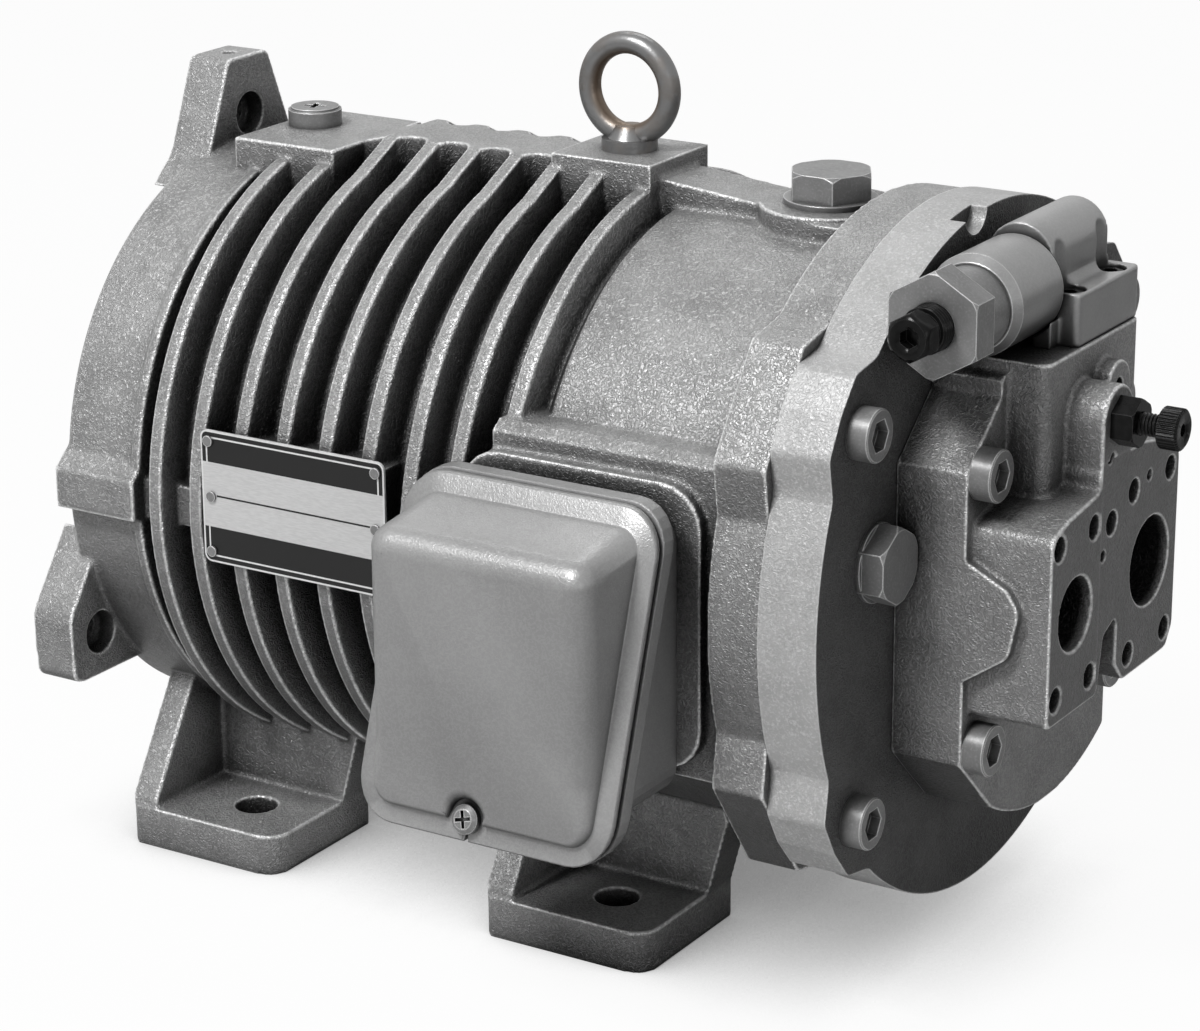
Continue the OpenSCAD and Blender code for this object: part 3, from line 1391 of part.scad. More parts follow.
module flow_stop() {
  color("gray") x_rod(flow_tip - 6, flow_tip - 0.1, flow_screw_d / 2 - 0.5, flow_y, flow_z);
}

// Motor inside
module stator_core() {
  slots = 36;
  color("slategray") difference() {
    x_rod(core_rear, core_front, frame_bore_r - seat_fit);
    x_rod(core_rear - cut, core_front + cut, stator_bore_r);
    translate([core_rear - cut, 0, shaft_h]) rotate([90, 0, 90]) linear_extrude(height = core_len + 2 * cut)
      for (i = [0:slots - 1]) rotate(360 / slots * i) translate([stator_bore_r + 2, -1.8])
        square([16, 3.6]);
  }
}

module windings() {
  color("chocolate") {
    x_turn([[stator_bore_r + 3, core_front + 0.1], [stator_bore_r + 26, core_front + 0.1],
      [stator_bore_r + 28, core_front + winding_l - 6], [stator_bore_r + 22, core_front + winding_l],
      [stator_bore_r + 8, core_front + winding_l], [stator_bore_r + 3, core_front + winding_l - 6]]);
    x_turn([[stator_bore_r + 3, core_rear - 0.1], [stator_bore_r + 3, core_rear - winding_l + 6],
      [stator_bore_r + 8, core_rear - winding_l], [stator_bore_r + 22, core_rear - winding_l],
      [stator_bore_r + 28, core_rear - winding_l + 6], [stator_bore_r + 26, core_rear - 0.1]]);
  }
}

rotor_r = stator_bore_r - air_gap;

module rotor_core() {
  color("dimgray") x_tube(core_rear, core_front, shaft_core_r + seat_fit, rotor_r);
}

module rotor_cage() {
  color("gainsboro") {
    x_tube(core_rear - cage_l, core_rear, rotor_r - 20, rotor_r - 2);
    x_tube(core_front, core_front + cage_l, rotor_r - 20, rotor_r - 2);
  }
}

front_shoulder = front_bearing_x;
shaft_end = pump_back - 0.5;

module shaft() {
  rear = rear_bearing_x;
  color("lightsteelblue") x_turn([[0, rear], [shaft_rear_r - 1, rear], [shaft_rear_r, rear + 1],
    [shaft_rear_r, rear + rear_bearing_w], [shaft_core_r - 2.5, rear + rear_bearing_w],
    [shaft_core_r - 2.5, core_rear - cage_l - 4], [shaft_core_r, core_rear - cage_l - 4],
    [shaft_core_r, core_front + cage_l + 4], [shaft_front_r + 3, core_front + cage_l + 4],
    [shaft_front_r + 3, front_shoulder], [shaft_front_r, front_shoulder],
    [shaft_front_r, front_bearing_x + front_bearing_w + 1], [shaft_seal_r, front_bearing_x + front_bearing_w + 1],
    [shaft_seal_r, side_plate_x - 2], [shaft_pump_r, side_plate_x - 2], [shaft_pump_r, shaft_end], [0, shaft_end]]);
}

// Ball bearing pieces: the race grooves are left out, the balls sit between the rings
function race_mid(ri, ro) = (ri + ro) / 2;
function race_half(ri, ro) = (ro - ri) * 0.26;

module bearing_outer(x, w, ri, ro) {
  x_tube(x, x + w, race_mid(ri, ro) + race_half(ri, ro), ro);
}

module bearing_inner(x, w, ri, ro) {
  x_tube(x, x + w, ri + 0.02, race_mid(ri, ro) - race_half(ri, ro));
}

module bearing_balls(x, w, ri, ro) {
  r = race_half(ri, ro) - 0.05;
  for (i = [0:ball_count - 1]) {
    p = on_circle(race_mid(ri, ro), 360 / ball_count * i);
    translate([x + w / 2, p[0], p[1]]) sphere(r = r, $fn = 24);
  }
}

module front_bearing_outer() {
  color("gray") bearing_outer(front_bearing_x, front_bearing_w, shaft_front_r, front_bearing_r);
}

module front_bearing_inner() {
  color("gray") bearing_inner(front_bearing_x, front_bearing_w, shaft_front_r, front_bearing_r);
}

module front_bearing_balls() {
  color("white") bearing_balls(front_bearing_x, front_bearing_w, shaft_front_r, front_bearing_r);
}

module rear_bearing_outer() {
  color("gray") bearing_outer(rear_bearing_x, rear_bearing_w, shaft_rear_r, rear_bearing_r);
}

module rear_bearing_inner() {
  color("gray") bearing_inner(rear_bearing_x, rear_bearing_w, shaft_rear_r, rear_bearing_r);
}

module rear_bearing_balls() {
  color("white") bearing_balls(rear_bearing_x, rear_bearing_w, shaft_rear_r, rear_bearing_r);
}

module shaft_seal() {
  color("black") x_tube(seal_x, seal_x + seal_w, shaft_seal_r + run_fit, seal_r);
}

// Pump inside
module side_plate() {
  color("tan") difference() {
    x_rod(side_plate_x, side_plate_x + side_plate_t, pump_bore_r - seat_fit);
    x_rod(side_plate_x - cut, side_plate_x + 20, shaft_pump_r + 0.5);
  }
}

ring_x0 = side_plate_x + side_plate_t + run_fit;
ring_x1 = pump_back - run_fit;

module cam_ring() {
  color("steelblue") difference() {
    intersection() {
      x_rod(ring_x0, ring_x1, ring_or, ring_travel);
      box([ring_x0, -60, shaft_h - ring_or + 1.5], [ring_x1, 60, shaft_h + ring_or - 1.5]);
    }
    x_rod(ring_x0 - cut, ring_x1 + cut, ring_ir, ring_travel);
  }
}

// Pads above and below the ring that guide its slide
module guide_pads() {
  color("goldenrod") for (s = sides) intersection() {
    x_rod(ring_x0, ring_x1, pump_bore_r - seat_fit);
    translate([0, 0, shaft_h]) scale([1, 1, s])
      box([ring_x0, -9, ring_or - 1.5 + run_fit], [ring_x1, 15, pump_bore_r + 1]);
  }
}

module vane_slots(t, r0, r1, x0, x1) {
  for (i = [0:vane_count - 1]) translate([0, 0, shaft_h]) rotate([360 / vane_count * i, 0, 0])
    box([x0, -t / 2, r0], [x1, t / 2, r1]);
}

vane_r = ring_ir - ring_travel - 0.3;

module pump_rotor() {
  color("lightsteelblue") difference() {
    x_rod(ring_x0, ring_x1, pump_rotor_r);
    x_rod(ring_x0 - cut, ring_x1 + cut, shaft_pump_r + 0.02);
    vane_slots(vane_t + 2 * run_fit, vane_r - vane_h - 0.3, pump_rotor_r + 2, ring_x0 - cut, ring_x1 + cut);
  }
}

module vanes() {
  color("white") vane_slots(vane_t, vane_r - vane_h, vane_r, ring_x0, ring_x1);
}

module port_plate() {
  color("tan") difference() {
    x_rod(pump_back, chamber_end, pump_bore_r - seat_fit);
    for (y = [-27, 20]) x_rod(pump_back - cut, chamber_end + cut, 5, y, shaft_h);
  }
}

ring_y0 = ring_travel - ring_or;
ring_y1 = ring_travel + ring_or;

module control_piston() {
  color("gainsboro") y_rod(ring_y0 - piston_l - 6, ring_y0 - seat_fit, piston_r, piston_x, shaft_h);
}

module bias_piston() {
  color("gainsboro") y_rod(ring_y1 + seat_fit, ring_y1 + 10, piston_r, piston_x, shaft_h);
}

module bias_spring() {
  color("steelblue")
    spring_rings(ring_y1 + 10.1, bias_end - 5.1, spring_room_r - 2.5, 1.6, 4, piston_x, shaft_h);
}

module bias_plug() {
  color("gray") difference() {
    y_rod(bias_end - 5, bias_end - 0.5, spring_room_r - seat_fit, piston_x, shaft_h);
    translate([piston_x, bias_end, shaft_h]) rotate([90, 0, 0])
      linear_extrude(height = 4) polygon(hexagon(cap_key - 2));
  }
}

motor_frame();
rear_cover();
rear_cover_screws();
bearing_cap();
bearing_cap_screws();
adapter_flange();
flange_screws();
terminal_box();
terminal_gasket();
terminal_cover();
terminal_cover_screw();
terminal_block();
terminal_studs();
cable_gland_plug();
nameplate();
nameplate_rivets();
lifting_eye();
filler_plug();
filler_washer();
breather_plug();
drain_plug();
pump_housing();
pump_screws();
compensator_body();
compensator_screws();
seal_ring();
spring_sleeve();
compensator_cap();
pressure_screw();
spring_seat();
pressure_spring();
compensator_spool();
end_plug();
flow_lock_nut();
flow_screw();
flow_stop();
stator_core();
windings();
rotor_core();
rotor_cage();
shaft();
front_bearing_outer();
front_bearing_inner();
front_bearing_balls();
rear_bearing_outer();
rear_bearing_inner();
rear_bearing_balls();
shaft_seal();
side_plate();
cam_ring();
guide_pads();
pump_rotor();
vanes();
port_plate();
control_piston();
bias_piston();
bias_spring();
bias_plug();
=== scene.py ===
"""Looks of the motor pump unit. Metres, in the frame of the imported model."""

import json
from math import atan2, cos, pi, radians, sin, sqrt

import bmesh
import bpy
from mathutils import Matrix, Vector


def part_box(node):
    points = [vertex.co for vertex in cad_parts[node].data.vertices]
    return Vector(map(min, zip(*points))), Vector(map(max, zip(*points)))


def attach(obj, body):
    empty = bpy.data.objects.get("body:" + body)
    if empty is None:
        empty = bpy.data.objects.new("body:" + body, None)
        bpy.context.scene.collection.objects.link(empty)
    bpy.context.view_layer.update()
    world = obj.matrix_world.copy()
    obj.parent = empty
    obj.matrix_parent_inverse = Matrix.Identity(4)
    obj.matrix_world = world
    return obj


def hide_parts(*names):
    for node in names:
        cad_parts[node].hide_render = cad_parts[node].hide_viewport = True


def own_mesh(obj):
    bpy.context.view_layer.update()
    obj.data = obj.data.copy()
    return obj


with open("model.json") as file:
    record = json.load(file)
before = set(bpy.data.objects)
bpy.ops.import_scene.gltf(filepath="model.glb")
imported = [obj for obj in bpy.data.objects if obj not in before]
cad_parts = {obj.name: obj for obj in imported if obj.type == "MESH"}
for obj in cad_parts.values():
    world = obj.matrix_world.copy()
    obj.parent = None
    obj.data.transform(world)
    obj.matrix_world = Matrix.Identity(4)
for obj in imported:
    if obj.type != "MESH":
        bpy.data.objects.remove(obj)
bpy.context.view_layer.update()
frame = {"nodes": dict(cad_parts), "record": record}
nodes = frame["nodes"]
MOUNTS = {mount["name"]: mount for mount in frame["record"]["mounts"]}

MM = 0.001
IMAGE_W = 1200
IMAGE_H = 1031

# Camera fitted to the photograph
CAMERA_AZIMUTH = 32.07
CAMERA_ELEVATION = 18.62
CAMERA_ROLL = -0.37
CAMERA_DISTANCE = 1352.2 * MM
CAMERA_TARGET = Vector((29.5, 0, 129.2)) * MM
FOCAL_PX = 3667.25
CENTRE_PX = (606.22, 511.78)
SENSOR_W = 36

# Depth behind the port face that still counts as the face
FACE_STEP = 2.5 * MM

# Nameplate: corner, bright edge, inner border line, and the bands and rule as shares of its height
PLATE_CORNER = 3 * MM
PLATE_EDGE = 0.7 * MM
PLATE_BORDER = 2.6 * MM
PLATE_LINE = 0.32 * MM
PLATE_BANDS = (0.27, 0.76)
PLATE_RULE = 0.51

# Pressed cover of the terminal box, in millimetres
COVER_CORNER = 15  # outer corner, seen from the front
COVER_RIM = 6.5  # width of the flat rim
COVER_FLANGE = 3  # thickness of the rim
COVER_WALL = 2.5  # wall of the dome
COVER_BEND = 8  # rounding between the front and the sides
COVER_NOTCH = 6.8  # radius of the notch over the screw
COVER_NOTCH_RISE = 7.5  # height of the notch's middle over the lower edge
COVER_LEAN = 36.7  # how far the rim leans back from its foot to its top
COVER_LIFT = 3.1  # how far the rim's foot lies behind the front
COVER_TAPER = 5  # how far the top of the dome comes down towards the front
COVER_DEPTH = 38  # depth of the dome over which it does so
COVER_CORNER_STEPS = 8
COVER_SIDE_STEPS = 80
COVER_BEND_STEPS = 6

# Pressure screw, in millimetres
PRESS_HEAD = 9
PRESS_FLATS = 14.5
PRESS_SOCKET = 6
PRESS_RADIUS = 8
PRESS_PITCH = 1.5
PRESS_GROOVE = 0.85
PRESS_THREAD = 12  # end of the thread behind the head

# Spring under the pressure screw, in millimetres
SPRING_WIRE = 1.8
SPRING_TURNS = 7
SPRING_STEPS = 32
SPRING_SIDES = 10

# Flow screw, in millimetres
FLOW_RADIUS = 4
FLOW_PITCH = 1.25
FLOW_GROOVE = 0.75
FLOW_SOCKET = 4
FLOW_KNOB = 8
FLOW_TEETH = 36
FLOW_TOOTH = 0.55

# Castings with rounded edges: node, voxel in millimetres, rounds of smoothing
CAST_SKINS = (
    ("motor_frame", 0.8, 2),
    ("pump_housing", 0.7, 3),
    ("compensator_body", 0.6, 3),
    ("rear_cover", 0.8, 2),
    ("bearing_cap", 0.7, 2),
)

# Light of the world on the object, where 1 is the white that the camera sees
WORLD_LIGHT = 0.10
FLOOR_SIZE = 6
LAMP_TARGET = (0.03, 0, 0.14)


def make_camera():
    """Camera from the fitted angles, with the photograph's principal point as a shift."""
    az, el, roll = radians(CAMERA_AZIMUTH), radians(CAMERA_ELEVATION), radians(CAMERA_ROLL)
    back = Vector((sin(az) * cos(el), -cos(az) * cos(el), sin(el)))
    right = Vector((cos(az), sin(az), 0))
    up = back.cross(right)
    across = right * cos(roll) + up * sin(roll)
    upright = up * cos(roll) - right * sin(roll)
    data = bpy.data.cameras.new("camera")
    data.sensor_fit = "HORIZONTAL"
    data.sensor_width = SENSOR_W
    data.lens = SENSOR_W * FOCAL_PX / IMAGE_W
    data.shift_x = (IMAGE_W / 2 - CENTRE_PX[0]) / IMAGE_W
    data.shift_y = (CENTRE_PX[1] - IMAGE_H / 2) / IMAGE_W
    data.clip_end = 20
    camera = bpy.data.objects.new("camera", data)
    camera.matrix_world = Matrix((across, upright, back)).transposed().to_4x4()
    camera.location = CAMERA_TARGET + back * CAMERA_DISTANCE
    bpy.context.scene.collection.objects.link(camera)
    bpy.context.scene.camera = camera


def link(obj):
    """Puts an object into the scene."""
    bpy.context.scene.collection.objects.link(obj)
    return obj


# Materials

class Graph:
    """Short way to lay out the nodes of one material."""

    def __init__(self, name):
        self.material = bpy.data.materials.new(name)
        self.material.use_nodes = True
        self.tree = self.material.node_tree
        self.tree.nodes.clear()
        self.output = self.add("ShaderNodeOutputMaterial")
        self.shader = self.add("ShaderNodeBsdfPrincipled")
        self.tree.links.new(self.shader.outputs[0], self.output.inputs[0])
        self.coords = self.add("ShaderNodeTexCoord").outputs["Object"]

    def add(self, kind, **values):
        node = self.tree.nodes.new(kind)
        for key, value in values.items():
            setattr(node, key, value)
        return node

    def put(self, socket, value):
        if isinstance(value, bpy.types.NodeSocket):
            self.tree.links.new(value, socket)
        else:
            socket.default_value = value

    def math(self, operation, *values):
        node = self.add("ShaderNodeMath", operation=operation)
        for socket, value in zip(node.inputs, values):
            self.put(socket, value)
        return node.outputs[0]

    def ramp(self, value, low, high, start=0.0, end=1.0):
        node = self.add("ShaderNodeMapRange", interpolation_type="SMOOTHSTEP")
        for socket, item in zip(node.inputs, (value, low, high, start, end)):
            self.put(socket, item)
        return node.outputs[0]

    def mix(self, factor, a, b):
        node = self.add("ShaderNodeMix", data_type="RGBA")
        self.put(node.inputs[0], factor)
        self.put(node.inputs[6], a)
        self.put(node.inputs[7], b)
        return node.outputs[2]

    def noise(self, size_mm, detail=3.0, stretch=(1, 1, 1), curl=0.0):
        mapping = self.add("ShaderNodeMapping")
        self.put(mapping.inputs[0], self.coords)
        mapping.inputs["Scale"].default_value = [s / (size_mm * MM) for s in stretch]
        node = self.add("ShaderNodeTexNoise")
        self.put(node.inputs["Vector"], mapping.outputs[0])
        node.inputs["Scale"].default_value = 1.0
        node.inputs["Detail"].default_value = detail
        node.inputs["Distortion"].default_value = curl
        return node.outputs[0]

    def cloud(self, size_mm, detail=3.0, stretch=(1, 1, 1)):
        """Soft patches from 0 to 1."""
        return self.ramp(self.noise(size_mm, detail, stretch), 0.3, 0.7)

    def bump(self, height, depth_mm, normal=None):
        node = self.add("ShaderNodeBump")
        node.inputs["Strength"].default_value = 1.0
        node.inputs["Distance"].default_value = depth_mm * MM
        self.put(node.inputs["Height"], height)
        if normal is not None:
            self.put(node.inputs["Normal"], normal)
        return node.outputs[0]

    def bevel(self, radius_mm):
        node = self.add("ShaderNodeBevel", samples=6)
        node.inputs[0].default_value = radius_mm * MM
        return node.outputs[0]

    # Mask for painted shade: low in hollows and where other surfaces come close.
    def painted_occlusion_shade(self, reach_mm):
        node = self.add("ShaderNodeAmbientOcclusion", samples=8)
        node.inputs["Distance"].default_value = reach_mm * MM
        return node.outputs["AO"]

    def split(self, vector):
        """The three parts of a vector."""
        parts = self.add("ShaderNodeSeparateXYZ")
        self.put(parts.inputs[0], vector)
        return parts.outputs

    def facing(self):
        """The surface's own direction."""
        return self.add("ShaderNodeNewGeometry").outputs["Normal"]

    def facing_x(self):
        """1 where a surface faces the pump end."""
        return self.ramp(self.split(self.facing())[0], 0.55, 0.8)

    def painted_underside_shade(self):
        """1 on faces that look down; dark colour mixed in by it paints shade there."""
        return self.ramp(self.split(self.facing())[2], 0.30, -0.60)

    def worms(self, size_mm):
        """Winding crests, like the skin that moulding sand leaves."""
        wave = self.noise(size_mm, 1.0, curl=0.5)
        return self.ramp(self.math("ABSOLUTE", self.math("SUBTRACT", wave, 0.5)), 0.11, 0.0)

    # Mask for edges painted bright: partly wear, partly a painted highlight.
    def worn_and_highlit_edge(self, radius_mm):
        """1 along sharp edges, where the rounded normal turns away from the flat one."""
        turn = self.add("ShaderNodeVectorMath", operation="DOT_PRODUCT")
        self.put(turn.inputs[0], self.bevel(radius_mm))
        self.put(turn.inputs[1], self.facing())
        return self.ramp(turn.outputs["Value"], 0.995, 0.93)

    # Mask for edges painted bright in broken stretches: partly wear, partly a painted highlight.
    def rubbed_and_highlit_edge(self):
        """1 in broken stretches along the rounded edges of a casting."""
        edge = self.add("ShaderNodeNewGeometry").outputs["Pointiness"]
        broken = self.ramp(self.noise(2.4, 3), 0.30, 0.62, 0.6, 1.0)
        return self.math("MULTIPLY", self.ramp(edge, 0.514, 0.546), broken)

    def set(self, name, value):
        self.put(self.shader.inputs[name], value)


def grey(value):
    """A neutral colour."""
    return (value, value, value, 1)


def cast_body(g, dark, light, crest):
    """Colour and grain of a sand casting: fine winding crests over uneven skin, and painted shade on faces
    that look down.
    """
    patches = g.noise(16, 4)
    worms = g.worms(1.45)
    body = g.mix(g.ramp(patches, 0.3, 0.7), grey(dark), grey(light))
    body = g.mix(g.math("MULTIPLY", worms, 0.30), body, grey(crest))
    # Painted shade: faces that look down are darkened towards near black.
    body = g.mix(g.math("MULTIPLY", g.painted_underside_shade(), 0.72), body, grey(0.05))
    skin = g.bump(g.noise(6, 2), 0.45)
    normal = g.bump(worms, 0.24, g.bump(g.noise(0.8, 2), 0.15, skin))
    return patches, body, normal


def cast_metal():
    """Silver-grey casting: fine grain, painted shade in the hollows, edges lightened in broken stretches as
    wear and as a painted highlight.
    """
    g = Graph("cast_metal")
    patches, body, normal = cast_body(g, 0.28, 0.36, 0.70)
    # Edges painted bright: partly wear, partly a painted highlight.
    body = g.mix(g.rubbed_and_highlit_edge(), body, grey(0.92))
    # Painted shade: near black in the hollows and where other surfaces come close.
    body = g.mix(g.ramp(g.painted_occlusion_shade(26), 0.20, 0.88), grey(0.014), body)
    g.set("Base Color", body)
    g.set("Metallic", 0.45)
    g.set("Specular IOR Level", 0.3)
    g.set("Roughness", g.ramp(patches, 0.25, 0.75, 0.36, 0.46))
    g.set("Normal", normal)
    return g.material


def painted_bore_shade(g, place, face):
    """1 inside the two port bores, behind the edge of the port face."""
    bore = 0
    for name in ("delivery_port", "suction_port"):
        centre = Vector(MOUNTS[name]["pos_m"])
        radius = MOUNTS[name]["dims"]["r_mm"] * MM
        reach_y = g.math("SUBTRACT", place[1], centre.y)
        reach_z = g.math("SUBTRACT", place[2], centre.z)
        square = g.math("ADD", g.math("POWER", reach_y, 2), g.math("POWER", reach_z, 2))
        inside = g.math("LESS_THAN", g.math("SQRT", square), radius + 0.6 * MM)
        bore = g.math("MAXIMUM", inside, bore)
    return g.math("MULTIPLY", bore, g.ramp(place[0], face - 1.5 * MM, face - 5 * MM))


def pump_metal():
    """Casting of the pump: machined darker port face, and painted shade, near black, inside the port bores.
    """
    g = Graph("pump_metal")
    patches, body, normal = cast_body(g, 0.27, 0.33, 0.64)
    # Painted shade: near black in the hollows and where other surfaces come close.
    body = g.mix(g.ramp(g.painted_occlusion_shade(24), 0.20, 0.88), grey(0.012), body)
    place = g.split(g.coords)
    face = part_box("pump_housing")[1].x
    smooth = g.math("MULTIPLY", g.facing_x(), g.math("GREATER_THAN", place[0], face - FACE_STEP))
    milled = g.mix(g.ramp(g.noise(1.4, 3), 0.35, 0.65), grey(0.14), grey(0.165))
    body = g.mix(smooth, body, milled)
    # Edges painted bright: partly wear, partly a painted highlight.
    body = g.mix(g.rubbed_and_highlit_edge(), body, grey(0.88))
    # Painted shade: near black inside the two port bores.
    g.set("Base Color", g.mix(painted_bore_shade(g, place, face), body, grey(0.004)))
    g.set("Metallic", 0.40)
    g.set("Specular IOR Level", 0.3)
    g.set("Roughness", g.ramp(patches, 0.25, 0.75, 0.36, 0.46))
    g.set("Normal", normal)
    return g.material


def adapter_metal():
    """Turned light rim, with the cast skin left on the face towards the pump."""
    g = Graph("adapter_metal")
    patches, body, normal = cast_body(g, 0.075, 0.11, 0.20)
    rim = g.mix(g.cloud(12, 3), grey(0.42), grey(0.48))
    rim = g.mix(g.ramp(g.noise(1.0, 2, curl=0.8), 0.45, 0.75), rim, grey(0.62))
    face = g.facing_x()
    body = g.mix(face, rim, body)
    # Edges painted bright: partly wear, partly a painted highlight.
    body = g.mix(g.worn_and_highlit_edge(0.9), body, grey(0.80))
    # Painted shade: dark in the hollows and where other surfaces come close.
    body = g.mix(g.ramp(g.painted_occlusion_shade(16), 0.15, 0.80), grey(0.03), body)
    g.set("Base Color", body)
    g.set("Metallic", 0.2)
    g.set("Specular IOR Level", 0.3)
    g.set("Roughness", 0.42)
    blend = g.add("ShaderNodeMix", data_type="VECTOR")
    g.put(blend.inputs[0], face)
    g.put(blend.inputs[4], g.bump(g.worms(1.5), 0.08, g.bump(g.noise(1.0, 2), 0.08, g.bevel(0.9))))
    g.put(blend.inputs[5], normal)
    g.set("Normal", blend.outputs[1])
    return g.material


def satin_metal():
    """Machined grey surface with fine turning marks, bright corners that are partly wear and partly a
    painted highlight, and painted shade on faces that look down and in hollows.
    """
    g = Graph("satin_metal")
    lines = g.noise(0.5, 2, (0.4, 6, 0.4))
    body = g.mix(g.cloud(20, 4), grey(0.34), grey(0.38))
    body = g.mix(g.math("MULTIPLY", g.worms(1.4), 0.12), body, grey(0.60))
    # Painted shade: faces that look down are darkened towards near black.
    body = g.mix(g.math("MULTIPLY", g.painted_underside_shade(), 0.80), body, grey(0.05))
    # Edges painted bright: partly wear, partly a painted highlight.
    body = g.mix(g.worn_and_highlit_edge(0.7), body, grey(0.85))
    # Painted shade: near black in the hollows and where other surfaces come close.
    body = g.mix(g.ramp(g.painted_occlusion_shade(26), 0.2, 0.85), grey(0.02), body)
    g.set("Base Color", body)
    g.set("Metallic", 0.45)
    g.set("Roughness", g.ramp(lines, 0.3, 0.7, 0.28, 0.36))
    g.set("Normal", g.bump(lines, 0.02, g.bump(g.noise(1.2, 2), 0.04, g.bevel(0.7))))
    return g.material


def pressed_cover():
    """Smooth satin cover sheet, with painted shade on faces that look down and in hollows."""
    g = Graph("pressed_cover")
    body = g.mix(g.cloud(40, 3), grey(0.32), grey(0.37))
    body = g.mix(g.math("MULTIPLY", g.worms(1.5), 0.14), body, grey(0.60))
    # Painted shade: faces that look down are darkened towards near black.
    body = g.mix(g.math("MULTIPLY", g.painted_underside_shade(), 0.70), body, grey(0.08))
    # Painted shade: dark in the hollows and where other surfaces come close.
    body = g.mix(g.ramp(g.painted_occlusion_shade(12), 0.2, 0.8), grey(0.05), body)
    g.set("Base Color", body)
    g.set("Metallic", 0.40)
    g.set("Specular IOR Level", 0.3)
    g.set("Roughness", g.ramp(g.noise(1.5, 3), 0.3, 0.7, 0.34, 0.40))
    g.set("Normal", g.bump(g.worms(1.2), 0.025, g.bump(g.noise(0.9, 2), 0.04, g.bevel(0.8))))
    return g.material


def zinc_steel():
    """Plated screws and plugs, with edges painted bright as wear and highlight, and painted shade in the
    hollows.
    """
    g = Graph("zinc_steel")
    body = g.mix(g.cloud(9, 3), grey(0.21), grey(0.25))
    body = g.mix(g.ramp(g.noise(0.9, 2), 0.45, 0.8), body, grey(0.30))
    # Edges painted bright: partly wear, partly a painted highlight.
    body = g.mix(g.worn_and_highlit_edge(0.6), body, grey(0.85))
    # Painted shade: near black in the hollows and where other surfaces come close.
    body = g.mix(g.ramp(g.painted_occlusion_shade(5), 0.25, 0.85), grey(0.006), body)
    g.set("Base Color", body)
    g.set("Metallic", 0.4)
    g.set("Roughness", g.ramp(g.noise(2, 3), 0.3, 0.7, 0.34, 0.42))
    g.set("Normal", g.bump(g.noise(1.0, 2), 0.04, g.bevel(0.6)))
    return g.material


def eye_steel():
    """Forged eye: grey outside, brownish inside the ring."""
    g = Graph("eye_steel")
    rust = g.ramp(g.noise(9, 4), 0.45, 0.62)
    low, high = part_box("lifting_eye")
    centre = Vector(((low.x + high.x) / 2, 0, high.z - (high.x - low.x) / 2))
    reach = g.add("ShaderNodeVectorMath", operation="DISTANCE")
    g.put(reach.inputs[0], g.coords)
    reach.inputs[1].default_value = centre
    inside = g.ramp(reach.outputs["Value"], 16.5 * MM, 13.0 * MM)
    stain = g.math("MAXIMUM", g.math("MULTIPLY", inside, 0.75), g.math("MULTIPLY", rust, 0.22))
    g.set("Base Color", g.mix(stain, grey(0.22), (0.15, 0.10, 0.06, 1)))
    g.set("Metallic", 0.8)
    g.set("Roughness", g.ramp(rust, 0, 1, 0.36, 0.5))
    g.set("Normal", g.bump(g.noise(2.2, 4), 0.12))
    return g.material


def black_oxide():
    """Blackened screws, nut and knob, with edges painted a little lighter as wear and highlight."""
    g = Graph("black_oxide")
    body = g.mix(g.cloud(3, 3), grey(0.004), grey(0.009))
    # Edges painted a little lighter: partly wear, partly a painted highlight.
    g.set("Base Color", g.mix(g.worn_and_highlit_edge(0.3), body, grey(0.06)))
    g.set("Metallic", 0.0)
    g.set("Roughness", g.ramp(g.noise(2, 3), 0.3, 0.7, 0.16, 0.26))
    g.set("Specular IOR Level", 0.12)
    g.set("Normal", g.bump(g.noise(0.8, 3), 0.02, g.bevel(0.3)))
    return g.material


def rubber():
    """Gasket and seal ring."""
    g = Graph("rubber")
    g.set("Base Color", g.mix(g.cloud(3, 3), grey(0.012), grey(0.02)))
    g.set("Roughness", 0.6)
    g.set("Normal", g.bump(g.noise(0.8, 3), 0.04, g.bevel(0.3)))
    return g.material


def plain_metal(name, dark, light, metallic, rough):
    """Inner pieces, out of sight in a closed unit."""
    g = Graph(name)
    g.set("Base Color", g.mix(g.cloud(6, 4), dark, light))
    g.set("Metallic", metallic)
    g.set("Roughness", g.ramp(g.noise(2, 3), 0.3, 0.7, rough - 0.06, rough + 0.06))
    g.set("Normal", g.bump(g.noise(0.8, 3), 0.03, g.bevel(0.3)))
    return g.material


